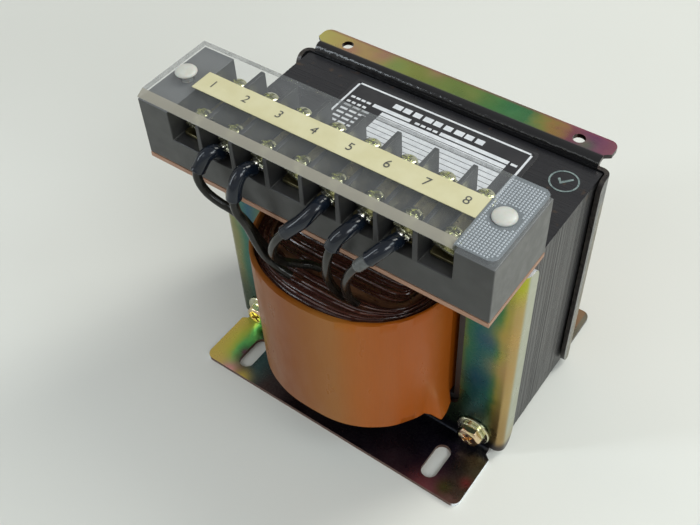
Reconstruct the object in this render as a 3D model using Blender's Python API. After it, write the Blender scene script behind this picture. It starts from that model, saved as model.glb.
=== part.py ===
"""Frame-mounted single-phase control transformer with an eight-pole barrier terminal block.

The model is in metres with +Z up. X runs along the terminal block, Y runs from the terminal
side to the back, and the origin is on the mounting plane below the middle of the whole outline.
The pieces are drawn about the middle of the core, in millimetres scaled by MM, and everything
is moved by CORE_X at the end, because the terminal block sits a little left of the core.
"""
import math

import bmesh
import bpy
from mathutils import Matrix, Vector

MM = 0.001
GAP = 0.3                     # clearance between two pieces that touch on the real object
CORE_X = 0.8                  # middle of the core, right of the origin

# Laminated core: the usual scrapless E and I proportions, worked out from the limb width.
LIMB = 38.0
CORE_W = 3.0 * LIMB
YOKE = LIMB / 2
WINDOW_H = 1.5 * LIMB
STACK = 49.8                  # thickness of the lamination stack, along Y
CORE_Z0 = 1.5
CORE_Z1 = CORE_Z0 + 2 * YOKE + WINDOW_H
WINDOW_Z0 = CORE_Z0 + YOKE
WINDOW_Z1 = CORE_Z1 - YOKE
CLAMP_X = 48.0                # clamp screws, from the middle of the core
CLAMP_INSET = 9.0             # and from its lower and upper edges
CLAMP_Z = (CORE_Z0 + CLAMP_INSET, CORE_Z1 - CLAMP_INSET)
CLAMP_HOLE_R = 2.9
CLAMP_SCREW_R = (2.5, 4.6, 6.5)       # thread, head and washer
NUT_FLATS = 8.0
NUT_BORE_R = 2.8
NUT_HEIGHT = 4.0

PLATE_CORNERS = ((-33.0, -14.0), (37.0, 21.5))     # rating plate on the core's top

# Pressed end frames, folded from one flat sheet each.
SHEET = 1.6
SIDE_BEND_R = 2.2             # folds to the middle of the sheet: the side walls
FLANGE_BEND_R = 2.0           # and the foot and upper flange
PLATE_Y = STACK / 2 + GAP + SHEET / 2
WALL_X = 58.5                 # middle of the side walls, clear of the core's sharp edges
WALL_Y = 19.6                 # where the side walls stop, measured from the core's middle
FRAME_H = 100.0               # up to the top face of the upper flange
FLANGE_HALF_W = 56.8
FOOT_FRONT_Y = 52.4
FOOT_REAR_Y = 48.5
TOP_FLANGE_Y = 36.4
RELIEF_X = 54.8
FRAME_WINDOW = (41.0, 17.5, 80.0)     # half width, lower edge, upper edge
FOOT_SLOT_X = 41.7
FOOT_SLOT = (6.0, 14.5)               # width, length
FOOT_SLOT_INSET = 11.1                # from the foot's edge to the middle of a slot
FLANGE_HOLE_X = 44.9
FLANGE_HOLE_Y = 31.8
FLANGE_HOLE_R = 2.1

# Coil: rings of a rounded outline that grows from the limb outwards.
COIL_SIDE = 22.1              # half length of the straight sides
COIL_A = (19.4, 36.2)         # half width, innermost and outermost
COIL_CAP = (3.4, 36.1)        # depth of the bulged ends, innermost and outermost
COIL_POWER = (24.0, 2.3)      # squareness of the bulged ends, innermost and outermost
COIL_Z0 = WINDOW_Z0 + GAP
COIL_Z1 = WINDOW_Z1 - GAP - 0.15
WINDING_INSET = 1.6

# Terminal block, its insulating board and its lift-off cover.
BLOCK_X0, BLOCK_X1 = -62.7, 59.5
BLOCK_Y0, BLOCK_Y1 = -49.3, -18.7
BOARD_Z0 = FRAME_H + GAP
BOARD_Z1 = BOARD_Z0 + 1.6
BLOCK_Z0 = BOARD_Z1 + GAP
BLOCK_Z1 = 123.2
POLES = 8
PITCH = 12.5
BARRIER = 1.6
FLOOR_Z = 112.5
FRONT_ROW_Y = -40.8
REAR_ROW_Y = -24.2
COVER_Z0 = BLOCK_Z1 + GAP
COVER_Z1 = COVER_Z0 + 1.9
COVER_BEVEL = 2.7             # chamfer along the front edge, up to the square tab at the right
COVER_TAB = 12.4
COVER_CORNER_R = 3.0
FASTENER_X = 54.8             # cover fasteners, either side of the block's middle
STRIP_X = 48.7                # half length of the marking strip
STRIP_Y = (-38.3, -30.1)
BLOCK_MID_X = (BLOCK_X0 + BLOCK_X1) / 2
BLOCK_MID_Y = (BLOCK_Y0 + BLOCK_Y1) / 2

# Terminal hardware.
BAR_Z0 = FLOOR_Z + GAP
BAR_Z1 = BAR_Z0 + 1.0
LUG_Z0 = BAR_Z1 + GAP
LUG_Z1 = LUG_Z0 + 1.0
LUG_R = 4.6
NECK = 2.2                    # half width of a lug's neck
WASHER_Z0 = LUG_Z1 + GAP       # under the screws that hold a lug
RAISED_Z0 = BAR_Z1 + 1.9       # under the free screws, which stand unscrewed a little
PILOT_R = 2.0
SLEEVE_R = 2.25
WIRE_R = 1.4

# Lead routes from the lug over the block's front edge down into the coil's top: pole number
# and the points that the lead passes through.
LEADS = {
    2: [(-32.9, -48.0, 115.4), (-33.0, -49.9, 117.2), (-34.2, -52.1, 116.6), (-35.4, -53.7, 113.8),
        (-36.4, -54.9, 110.7), (-35.9, -55.1, 107.5), (-34.3, -54.8, 104.5), (-32.3, -54.2, 102.3),
        (-29.9, -53.4, 100.4), (-27.3, -52.4, 98.6), (-24.9, -51.0, 95.3), (-23.7, -49.0, 89.3),
        (-23.0, -46.8, 82.4), (-21.8, -45.1, 77.3)],
    3: [(-20.4, -48.0, 115.4), (-20.5, -50.0, 116.8), (-20.7, -52.4, 116.9), (-21.0, -54.2, 115.3),
        (-21.1, -55.6, 112.7), (-21.3, -56.4, 108.2), (-20.6, -56.5, 104.5), (-19.1, -56.1, 101.8),
        (-17.9, -55.4, 98.0), (-17.1, -54.0, 91.1), (-15.7, -52.2, 84.0), (-12.8, -50.8, 79.9),
        (-8.9, -49.8, 77.3)],
    5: [(4.7, -48.0, 115.4), (4.2, -50.9, 115.0), (2.3, -54.0, 112.3), (-1.1, -56.0, 108.5),
        (-4.4, -56.8, 104.4), (-6.8, -56.8, 100.5), (-9.4, -55.6, 94.6), (-11.0, -53.4, 88.4),
        (-10.4, -50.4, 83.8), (-8.0, -46.9, 81.0), (-5.2, -43.9, 79.2), (-3.3, -42.1, 77.3)],
    6: [(17.2, -48.0, 115.4), (17.4, -50.3, 115.9), (16.4, -53.2, 115.3), (14.9, -55.3, 113.3),
        (13.6, -56.3, 110.0), (12.5, -56.6, 106.4), (11.0, -55.8, 100.9), (9.5, -54.2, 94.4),
        (8.6, -51.8, 87.3), (8.5, -49.3, 81.6), (9.3, -47.2, 77.3)],
    7: [(29.7, -48.0, 115.4), (29.5, -50.5, 116.2), (28.4, -53.2, 115.6), (26.6, -55.2, 113.6),
        (24.1, -56.3, 110.6), (21.4, -56.4, 106.7), (18.7, -55.7, 101.5), (16.1, -54.2, 94.9),
        (14.5, -52.0, 88.0), (13.8, -49.6, 82.0), (14.2, -47.2, 77.3)],
}
LEAD_SAMPLES = 3              # points between two route points


def clear_scene():
    for obj in list(bpy.data.objects):
        bpy.data.objects.remove(obj, do_unlink=True)


def material(name, rgb, roughness, metallic=0.0, alpha=1.0):
    mat = bpy.data.materials.new(name)
    mat.use_nodes = True
    shader = mat.node_tree.nodes["Principled BSDF"]
    shader.inputs["Base Color"].default_value = (*rgb, 1.0)
    shader.inputs["Roughness"].default_value = roughness
    shader.inputs["Metallic"].default_value = metallic
    shader.inputs["Alpha"].default_value = alpha
    return mat


def add(name, bm, mat, smooth=False):
    """Make one object from a bmesh in millimetres."""
    bmesh.ops.scale(bm, vec=Vector((MM, MM, MM)), verts=bm.verts)
    bmesh.ops.recalc_face_normals(bm, faces=bm.faces)
    mesh = bpy.data.meshes.new(name)
    bm.to_mesh(mesh)
    bm.free()
    obj = bpy.data.objects.new(name, mesh)
    bpy.context.collection.objects.link(obj)
    mesh.materials.append(mat)
    if smooth:
        mesh.shade_smooth()
        mesh.set_sharp_from_angle(angle=math.radians(35))
    return obj


def cut(obj, bm):
    """Cut the closed shells of a bmesh from an object."""
    cutter = add(obj.name + "_cutter", bm, obj.data.materials[0])
    cutter.hide_render = True
    cutter.display_type = "WIRE"
    boolean = obj.modifiers.new("cut", "BOOLEAN")
    boolean.operation = "DIFFERENCE"
    boolean.solver = "EXACT"
    boolean.object = cutter
    cutter.parent = obj


def set_origin(obj, point):
    """Move an object's origin to a point in millimetres and leave its shape where it is."""
    place = Vector(point) * MM
    obj.data.transform(Matrix.Translation(-place))
    obj.location = place


def box(bm, low, high):
    size = Vector(high) - Vector(low)
    middle = (Vector(high) + Vector(low)) / 2
    matrix = Matrix.Translation(middle) @ Matrix.Diagonal((*size, 1.0))
    bmesh.ops.create_cube(bm, size=1.0, matrix=matrix)


def cylinder(bm, centre, radius, low, high, sides=16, axis="Z"):
    turn = {"Z": Matrix.Identity(4), "Y": Matrix.Rotation(math.radians(90), 4, "X")}[axis]
    middle = list(centre)
    middle["XYZ".index(axis)] = (low + high) / 2
    matrix = Matrix.Translation(middle) @ turn
    bmesh.ops.create_cone(bm, cap_ends=True, segments=sides, radius1=radius, radius2=radius,
                          depth=high - low, matrix=matrix)


def arc(cx, cy, rx, ry, start, end, steps):
    """Points on an elliptic arc, both ends included, angles in degrees."""
    points = []
    for i in range(steps + 1):
        angle = math.radians(start + (end - start) * i / steps)
        points.append((cx + rx * math.cos(angle), cy + ry * math.sin(angle)))
    return points


def rounded_rectangle(x0, y0, x1, y1, radius, steps=4):
    r = radius
    return (arc(x1 - r, y0 + r, r, r, -90, 0, steps) + arc(x1 - r, y1 - r, r, r, 0, 90, steps)
            + arc(x0 + r, y1 - r, r, r, 90, 180, steps) + arc(x0 + r, y0 + r, r, r, 180, 270, steps))


def prism(bm, outline, low, high, axis="Z"):
    """Extrude a closed outline; the outline's axes are the two that are left, in X, Y, Z order."""
    rest = [i for i in range(3) if i != "XYZ".index(axis)]
    loops = []
    for level in (low, high):
        loop = []
        for u, v in outline:
            point = [level] * 3
            point[rest[0]] = u
            point[rest[1]] = v
            loop.append(bm.verts.new(point))
        loops.append(loop)
    bm.faces.new(loops[0])
    bm.faces.new(loops[1])
    count = len(outline)
    for i in range(count):
        j = (i + 1) % count
        bm.faces.new((loops[0][i], loops[0][j], loops[1][j], loops[1][i]))


def ring(bm, inner, outer, low, high):
    """A closed ring along Z between two outlines that have the same number of points."""
    loops = []
    for outline, level in ((outer, low), (outer, high), (inner, high), (inner, low)):
        loops.append([bm.verts.new((x, y, level)) for x, y in outline])
    count = len(inner)
    for k in range(4):
        here = loops[k]
        after = loops[(k + 1) % 4]
        for i in range(count):
            j = (i + 1) % count
            bm.faces.new((here[i], here[j], after[j], after[i]))


def turned(bm, centre, profile, sides=16, axis="Z"):
    """A solid of revolution about the axis through centre; profile is (radius, height) pairs."""
    loops = []
    for radius, height in profile:
        loop = []
        for i in range(sides):
            angle = 2 * math.pi * (i + 0.5) / sides
            a = radius * math.cos(angle)
            b = radius * math.sin(angle)
            if axis == "Z":
                point = (centre[0] + a, centre[1] + b, height)
            else:
                point = (centre[0] + a, height, centre[2] + b)
            loop.append(bm.verts.new(point))
        loops.append(loop)
    bm.faces.new(loops[0])
    bm.faces.new(loops[-1])
    for here, after in zip(loops, loops[1:]):
        for i in range(sides):
            j = (i + 1) % sides
            bm.faces.new((here[i], here[j], after[j], after[i]))


def quarter_turn(radius):
    """Length of sheet that a right-angled fold takes up."""
    return math.pi / 2 * radius


def flange_folds():
    """Heights on the plate where the foot's and the upper flange's folds start."""
    return SHEET / 2 + FLANGE_BEND_R, FRAME_H - SHEET / 2 - FLANGE_BEND_R


def flat_reach(distance_y):
    """How far past the start of a flange's fold a distance from the core's middle lies."""
    return quarter_turn(FLANGE_BEND_R) + distance_y - PLATE_Y - FLANGE_BEND_R


def blank_outline(foot_y):
    """Outline of the flat sheet: u across the frame, v up it, both measured on the plate."""
    low, high = flange_folds()
    side_start = WALL_X - SIDE_BEND_R
    wall_u = side_start + quarter_turn(SIDE_BEND_R) + PLATE_Y - SIDE_BEND_R - WALL_Y
    foot_v = low - flat_reach(foot_y)
    top_v = high + flat_reach(TOP_FLANGE_Y)
    flare = flat_reach(PLATE_Y + FLANGE_BEND_R + 1.0)
    corner = 3.0
    wall_low = low + 0.1
    wall_high = high - 0.1
    edge = FLANGE_HALF_W
    right = arc(edge - corner, foot_v + corner, corner, corner, -90, 0, 4)
    right += [(edge, low - flare - 1.5), (RELIEF_X, low - flare), (RELIEF_X, wall_low)]
    right += arc(wall_u - 3.4, wall_low + 8.0, 3.4, 8.0, -90, 0, 6)
    right += arc(wall_u - 3.4, wall_high - 4.0, 3.4, 4.0, 0, 90, 5)
    right += [(RELIEF_X, wall_high), (RELIEF_X, high + flare), (edge, high + flare + 1.5)]
    right += arc(edge - corner, top_v - corner, corner, corner, 0, 90, 4)
    left = [(-u, v) for u, v in reversed(right)]
    return right + left


def blank_holes(foot_y):
    """Window, screw holes and slots of the flat sheet."""
    low, high = flange_folds()
    half, window_low, window_high = FRAME_WINDOW
    holes = [rounded_rectangle(-half, window_low, half, window_high, 5.0)]
    for x in (-CLAMP_X, CLAMP_X):
        for z in CLAMP_Z:
            holes.append(arc(x, z, CLAMP_HOLE_R, CLAMP_HOLE_R, 0, 330, 11))
    slot_v = low - flat_reach(foot_y - FOOT_SLOT_INSET)
    hole_v = high + flat_reach(FLANGE_HOLE_Y)
    half_w, half_l = FOOT_SLOT[0] / 2, FOOT_SLOT[1] / 2
    for side in (-1, 1):
        x = side * FOOT_SLOT_X
        holes.append(rounded_rectangle(x - half_w, slot_v - half_l, x + half_w, slot_v + half_l,
                                       half_w - 0.01, 4))
        x = side * FLANGE_HOLE_X
        holes.append(arc(x, hole_v, FLANGE_HOLE_R, FLANGE_HOLE_R, 0, 330, 11))
    return holes


def fold(run, radius):
    """Where a point of the sheet lands: its way past the fold's start, and out of the plate."""
    if run <= 0:
        return run, 0.0
    quarter = quarter_turn(radius)
    if run < quarter:
        angle = run / radius
        return radius * math.sin(angle), radius * (1 - math.cos(angle))
    return radius, radius + run - quarter


def folded_point(u, v, side):
    """Map a point of the flat sheet onto the folded frame; side is -1 in front and 1 behind."""
    low, high = flange_folds()
    if v < low:
        down, outward = fold(low - v, FLANGE_BEND_R)
        return u, side * (PLATE_Y + outward), low - down
    if v > high:
        rise, outward = fold(v - high, FLANGE_BEND_R)
        return u, side * (PLATE_Y + outward), high + rise
    start = WALL_X - SIDE_BEND_R
    across, inward = fold(abs(u) - start, SIDE_BEND_R)
    return math.copysign(start + across, u), side * (PLATE_Y - inward), v


def fold_cuts(steps=5):
    """Lines across the flat sheet that divide each fold into short facets."""
    low, high = flange_folds()
    cuts = []
    for i in range(steps + 1):
        run = quarter_turn(FLANGE_BEND_R) * i / steps
        cuts.append((Vector((0, low - run, 0)), Vector((0, 1, 0))))
        cuts.append((Vector((0, high + run, 0)), Vector((0, 1, 0))))
        run = WALL_X - SIDE_BEND_R + quarter_turn(SIDE_BEND_R) * i / steps
        cuts.append((Vector((run, 0, 0)), Vector((1, 0, 0))))
        cuts.append((Vector((-run, 0, 0)), Vector((1, 0, 0))))
    return cuts


def make_frame(name, side, foot_y, mat):
    """One end frame: cut the flat sheet, fold it and give it its thickness."""
    bm = bmesh.new()
    for outline in [blank_outline(foot_y)] + blank_holes(foot_y):
        verts = [bm.verts.new((u, v, 0.0)) for u, v in outline]
        for i, vert in enumerate(verts):
            bm.edges.new((vert, verts[(i + 1) % len(verts)]))
    bmesh.ops.triangle_fill(bm, use_beauty=True, edges=bm.edges[:])
    for point, normal in fold_cuts():
        bmesh.ops.bisect_plane(bm, geom=bm.verts[:] + bm.edges[:] + bm.faces[:], dist=1e-4,
                               plane_co=point, plane_no=normal)
    for vert in bm.verts:
        vert.co = Vector(folded_point(vert.co.x, vert.co.y, side))
    obj = add(name, bm, mat)
    thick = obj.modifiers.new("sheet", "SOLIDIFY")
    thick.thickness = SHEET * MM
    thick.offset = 0.0
    thick.use_even_offset = True
    return obj


def make_core(mat):
    """The E laminations with their yoke below, and the I laminations that close them above."""
    half = CORE_W / 2
    side = half - YOKE
    limb = LIMB / 2
    joint = (WINDOW_Z1 - GAP / 2, WINDOW_Z1 + GAP / 2)
    e_outline = [(-half, CORE_Z0), (half, CORE_Z0), (half, joint[0]), (side, joint[0]),
                 (side, WINDOW_Z0), (limb, WINDOW_Z0), (limb, joint[0]), (-limb, joint[0]),
                 (-limb, WINDOW_Z0), (-side, WINDOW_Z0), (-side, joint[0]), (-half, joint[0])]
    i_outline = [(-half, joint[1]), (half, joint[1]), (half, CORE_Z1), (-half, CORE_Z1)]
    parts = (("core_e_stack", e_outline, CLAMP_Z[0]), ("core_i_stack", i_outline, CLAMP_Z[1]))
    for name, outline, hole_z in parts:
        bm = bmesh.new()
        prism(bm, outline, -STACK / 2, STACK / 2, axis="Y")
        obj = add(name, bm, mat)
        holes = bmesh.new()
        for x in (-CLAMP_X, CLAMP_X):
            cylinder(holes, (x, 0, hole_z), CLAMP_HOLE_R, -STACK, STACK, sides=12, axis="Y")
        cut(obj, holes)


def coil_outline(half_width, steps=14):
    """Straight sides with bulged ends, the rounder the further out the layer lies."""
    share = (half_width - COIL_A[0]) / (COIL_A[1] - COIL_A[0])
    cap = COIL_CAP[0] + share * (COIL_CAP[1] - COIL_CAP[0])
    power = COIL_POWER[1] + (COIL_POWER[0] - COIL_POWER[1]) * (1 - share) ** 3
    points = []
    for start, middle in ((0, COIL_SIDE), (math.pi, -COIL_SIDE)):
        for i in range(steps + 1):
            angle = start + math.pi * i / steps
            c, s = math.cos(angle), math.sin(angle)
            x = math.copysign(half_width * abs(c) ** (2 / power), c)
            y = middle + math.copysign(cap * abs(s) ** (2 / power), s)
            points.append((x, y))
    return points


def make_coil():
    paper = material("varnished_paper", (0.16, 0.07, 0.04), 0.45)
    copper = material("enamelled_copper", (0.30, 0.10, 0.05), 0.4, 0.3)
    tape = material("coil_tape", (0.62, 0.28, 0.10), 0.35)
    layers = (
        ("coil_former", 19.4, 20.5, 0.0, paper),
        ("primary_winding", 20.8, 27.4, WINDING_INSET, copper),
        ("interwinding_insulation", 27.7, 28.5, WINDING_INSET - 0.5, paper),
        ("secondary_winding", 28.8, 34.9, WINDING_INSET, copper),
        ("coil_tape_wrap", 35.2, 36.2, 0.0, tape),
    )
    for name, inner, outer, inset, mat in layers:
        bm = bmesh.new()
        ring(bm, coil_outline(inner), coil_outline(outer), COIL_Z0 + inset, COIL_Z1 - inset)
        add(name, bm, mat, smooth=True)


def hexagon(x, z, across_flats):
    """Corners and middles of the sides of a hexagon."""
    points = []
    for i in range(12):
        angle = math.radians(30 * i)
        reach = across_flats / 2
        if i % 2 == 0:
            reach /= math.cos(math.radians(30))
        points.append((x + reach * math.cos(angle), z + reach * math.sin(angle)))
    return points


def make_clamps(mat):
    """Four screws from the front frame to nuts behind the rear frame."""
    face = PLATE_Y + SHEET / 2
    washer = -(face + GAP)
    thread, head, flange = CLAMP_SCREW_R
    profile = [(thread, face + 7.0), (thread, washer), (flange, washer), (flange, washer - 1.1),
               (head, washer - 1.1), (head, washer - 3.0), (head - 1.2, washer - 4.0)]
    number = 0
    for z in CLAMP_Z:
        for x in (-CLAMP_X, CLAMP_X):
            number += 1
            bm = bmesh.new()
            turned(bm, (x, 0, z), profile, sides=14, axis="Y")
            add(f"clamp_screw_{number}", bm, mat, smooth=True)
            bm = bmesh.new()
            bore = arc(x, z, NUT_BORE_R, NUT_BORE_R, 0, 330, 11)
            ring(bm, bore, hexagon(x, z, NUT_FLATS), washer - NUT_HEIGHT, washer)
            bmesh.ops.rotate(bm, cent=Vector((0, 0, 0)), verts=bm.verts,
                             matrix=Matrix.Rotation(math.radians(90), 3, "X"))
            add(f"clamp_nut_{number}", bm, mat)


def pole_x(pole):
    """Middle of a terminal, counted from 1 at the left."""
    return BLOCK_MID_X + (pole - (POLES + 1) / 2) * PITCH


def make_board(mat):
    bm = bmesh.new()
    box(bm, (BLOCK_X0, BLOCK_Y0, BOARD_Z0), (BLOCK_X1, BLOCK_Y1, BOARD_Z1))
    board = add("terminal_board", bm, mat)
    holes = bmesh.new()
    for x in (-FLANGE_HOLE_X, FLANGE_HOLE_X):
        cylinder(holes, (x, -FLANGE_HOLE_Y, 0), FLANGE_HOLE_R, BOARD_Z0 - 1, BOARD_Z1 + 1, sides=12)
    cut(board, holes)


def make_block(mat):
    """Moulded base with a barrier between each two terminals and a solid block at each end."""
    bm = bmesh.new()
    half = (PITCH - BARRIER) / 2
    outline = [(BLOCK_X0, BLOCK_Z0), (BLOCK_X1, BLOCK_Z0), (BLOCK_X1, BLOCK_Z1)]
    for pole in range(POLES, 0, -1):
        x = pole_x(pole)
        outline += [(x + half, BLOCK_Z1), (x + half, FLOOR_Z), (x - half, FLOOR_Z), (x - half, BLOCK_Z1)]
    outline.append((BLOCK_X0, BLOCK_Z1))
    prism(bm, outline, BLOCK_Y0, BLOCK_Y1, axis="Y")
    block = add("terminal_block", bm, mat)
    holes = bmesh.new()
    for pole in range(1, POLES + 1):
        for y in (FRONT_ROW_Y, REAR_ROW_Y):
            cylinder(holes, (pole_x(pole), y, 0), PILOT_R, FLOOR_Z - 6.5, FLOOR_Z + 1, sides=10)
    for side in (-1, 1):
        cylinder(holes, (side * FLANGE_HOLE_X, -FLANGE_HOLE_Y, 0), FLANGE_HOLE_R,
                 BLOCK_Z0 - 1, BLOCK_Z0 + 6.6, sides=12)
        cylinder(holes, (BLOCK_MID_X + side * FASTENER_X, BLOCK_MID_Y, 0), PILOT_R,
                 BLOCK_Z1 - 8.0, BLOCK_Z1 + 1, sides=12)
    cut(block, holes)


def make_terminals(plated, tin):
    """Link bars, captive screws with their washers, and the crimped lugs of the leads."""
    for pole in range(1, POLES + 1):
        x = pole_x(pole)
        bm = bmesh.new()
        box(bm, (x - 4.2, FRONT_ROW_Y - 4.6, BAR_Z0), (x + 4.2, REAR_ROW_Y + 3.7, BAR_Z1))
        bar = add(f"terminal_bar_{pole}", bm, plated)
        holes = bmesh.new()
        for y in (FRONT_ROW_Y, REAR_ROW_Y):
            cylinder(holes, (x, y, 0), PILOT_R, BAR_Z0 - 1, BAR_Z1 + 1, sides=10)
        cut(bar, holes)
    for row, y in (("front", FRONT_ROW_Y), ("rear", REAR_ROW_Y)):
        for pole in range(1, POLES + 1):
            make_terminal_screw(f"{row}_terminal_screw_{pole}", pole_x(pole), y, row, pole, plated)
    for number, pole in enumerate(LEADS, 1):
        make_lug(f"lead_lug_{number}", pole_x(pole), tin)


def make_terminal_screw(name, x, y, row, pole, mat):
    seat = WASHER_Z0 if row == "front" and pole in LEADS else RAISED_Z0
    profile = [(1.6, FLOOR_Z - 6.0), (1.6, seat), (4.2, seat), (4.2, seat + 0.8), (2.6, seat + 0.8),
               (2.6, seat + 2.0), (3.0, seat + 2.0), (3.0, seat + 3.7), (1.8, seat + 4.6)]
    bm = bmesh.new()
    turned(bm, (x, y, 0), profile, sides=12)
    screw = add(name, bm, mat, smooth=True)
    set_origin(screw, (x, y, seat))


def make_lug(name, x, mat):
    """A ring tongue whose neck runs out over the block's front edge."""
    start = math.degrees(math.asin(NECK / LUG_R))
    around = arc(x, FRONT_ROW_Y, LUG_R, LUG_R, -90 + start, 270 - start, 16)
    outline = around + [(x - NECK, FRONT_ROW_Y - 6.9), (x + NECK, FRONT_ROW_Y - 6.9)]
    bm = bmesh.new()
    prism(bm, outline, LUG_Z0, LUG_Z1)
    lug = add(name, bm, mat)
    hole = bmesh.new()
    cylinder(hole, (x, FRONT_ROW_Y, 0), PILOT_R, LUG_Z0 - 1, LUG_Z1 + 1, sides=10)
    cut(lug, hole)


def smooth_route(points, samples):
    """Points on a smooth curve through the route's own points."""
    path = [Vector(p) for p in points]
    path = [2 * path[0] - path[1]] + path + [2 * path[-1] - path[-2]]
    smooth = []
    for i in range(1, len(path) - 2):
        a, b, c, d = path[i - 1:i + 3]
        for k in range(samples):
            t = k / samples
            smooth.append(0.5 * (2 * b + (c - a) * t + (2 * a - 5 * b + 4 * c - d) * t * t
                                 + (3 * b - a - 3 * c + d) * t ** 3))
    smooth.append(path[-2])
    return smooth


def make_leads(mat):
    """Insulated leads, each with a thicker sleeve over its crimp, as one tapering tube."""
    for number, route in enumerate(LEADS.values(), 1):
        points = smooth_route(route, LEAD_SAMPLES)
        curve = bpy.data.curves.new(f"lead_{number}", "CURVE")
        curve.dimensions = "3D"
        curve.bevel_depth = MM
        curve.bevel_resolution = 2
        curve.use_fill_caps = True
        spline = curve.splines.new("POLY")
        spline.points.add(len(points) - 1)
        length = 0.0
        for i, point in enumerate(points):
            if i:
                length += (point - points[i - 1]).length
            share = min(max((length - 13.0) / 2.0, 0.0), 1.0)
            spline.points[i].co = (*(point * MM), 1.0)
            spline.points[i].radius = SLEEVE_R + (WIRE_R - SLEEVE_R) * share
        obj = bpy.data.objects.new(curve.name, curve)
        bpy.context.collection.objects.link(obj)
        curve.materials.append(mat)


def make_cover(clear, nylon, label):
    """The clear cover, its two push fasteners and the marking strip along it."""
    radius = COVER_CORNER_R
    outline = [(BLOCK_X0, BLOCK_Y0), (BLOCK_X1 - radius, BLOCK_Y0)]
    outline += arc(BLOCK_X1 - radius, BLOCK_Y0 + radius, radius, radius, -90, 0, 5)[1:]
    outline += arc(BLOCK_X1 - radius, BLOCK_Y1 - radius, radius, radius, 0, 90, 5)
    outline.append((BLOCK_X0, BLOCK_Y1))
    bm = bmesh.new()
    prism(bm, outline, COVER_Z0, COVER_Z1)
    cover = add("terminal_cover", bm, clear)
    cutter = bmesh.new()
    reach = 0.5
    slope = [(BLOCK_Y0 - reach, COVER_Z0 + 0.3), (BLOCK_Y0, COVER_Z0 + 0.3),
             (BLOCK_Y0 + COVER_BEVEL, COVER_Z1), (BLOCK_Y0 + COVER_BEVEL, COVER_Z1 + reach),
             (BLOCK_Y0 - reach, COVER_Z1 + reach)]
    prism(cutter, slope, BLOCK_X0 - 1, BLOCK_X1 - COVER_TAB, axis="X")
    for side in (-1, 1):
        cylinder(cutter, (BLOCK_MID_X + side * FASTENER_X, BLOCK_MID_Y, 0), PILOT_R + 0.1,
                 COVER_Z0 - 1, COVER_Z1 + 0.2, sides=16)
    cut(cover, cutter)
    for side, name in ((-1, "left"), (1, "right")):
        x = BLOCK_MID_X + side * FASTENER_X
        seat = COVER_Z1 + GAP
        profile = [(1.7, BLOCK_Z1 - 7.0), (1.7, seat), (3.5, seat), (3.4, seat + 0.5),
                   (2.6, seat + 1.1), (1.2, seat + 1.4)]
        bm = bmesh.new()
        turned(bm, (x, BLOCK_MID_Y, 0), profile, sides=16)
        set_origin(add(f"cover_fastener_{name}", bm, nylon, smooth=True), (x, BLOCK_MID_Y, seat))
    bm = bmesh.new()
    strip_z = COVER_Z1 + GAP
    box(bm, (BLOCK_MID_X - STRIP_X, STRIP_Y[0], strip_z), (BLOCK_MID_X + STRIP_X, STRIP_Y[1], strip_z + 0.2))
    add("marking_strip", bm, label)


def make_fixings(mat):
    """Two screws that hold the board and the block down on the front frame's upper flange."""
    under = FRAME_H - SHEET - GAP
    profile = [(3.1, under - 2.1), (3.1, under), (1.7, under), (1.7, BLOCK_Z0 + 6.0)]
    for side, name in ((-1, "left"), (1, "right")):
        bm = bmesh.new()
        turned(bm, (side * FLANGE_HOLE_X, -FLANGE_HOLE_Y, 0), profile, sides=12)
        add(f"block_screw_{name}", bm, mat, smooth=True)


def make_nameplate(mat):
    bm = bmesh.new()
    low, high = PLATE_CORNERS
    box(bm, (*low, CORE_Z1 + GAP), (*high, CORE_Z1 + GAP + 0.3))
    add("rating_plate", bm, mat)


def centre_the_outline():
    """Move every piece so that the origin lies below the middle of the outline."""
    for obj in bpy.data.objects:
        if obj.parent is None:
            obj.location.x += CORE_X * MM


def main():
    clear_scene()
    zinc = material("yellow_zinc_steel", (0.42, 0.40, 0.20), 0.35, 0.9)
    iron = material("varnished_laminations", (0.03, 0.03, 0.035), 0.35)
    brass = material("plated_brass", (0.72, 0.62, 0.28), 0.3, 1.0)
    make_frame("front_frame", -1, FOOT_FRONT_Y, zinc)
    make_frame("rear_frame", 1, FOOT_REAR_Y, zinc)
    make_core(iron)
    make_coil()
    make_clamps(brass)
    make_board(material("phenolic_board", (0.50, 0.27, 0.16), 0.5))
    make_block(material("black_moulding", (0.06, 0.06, 0.065), 0.55))
    make_terminals(brass, material("tinned_copper", (0.75, 0.75, 0.73), 0.3, 1.0))
    make_leads(material("lead_sleeve", (0.02, 0.02, 0.022), 0.3))
    make_cover(material("clear_cover", (0.80, 0.82, 0.82), 0.1, 0.0, 0.35),
               material("nylon", (0.85, 0.84, 0.78), 0.4), material("strip", (0.86, 0.80, 0.58), 0.6))
    make_fixings(brass)
    make_nameplate(material("plate", (0.05, 0.05, 0.055), 0.4))
    centre_the_outline()


main()
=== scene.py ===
import math
import random

import bmesh
import bpy
from mathutils import Matrix, Vector, noise


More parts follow.
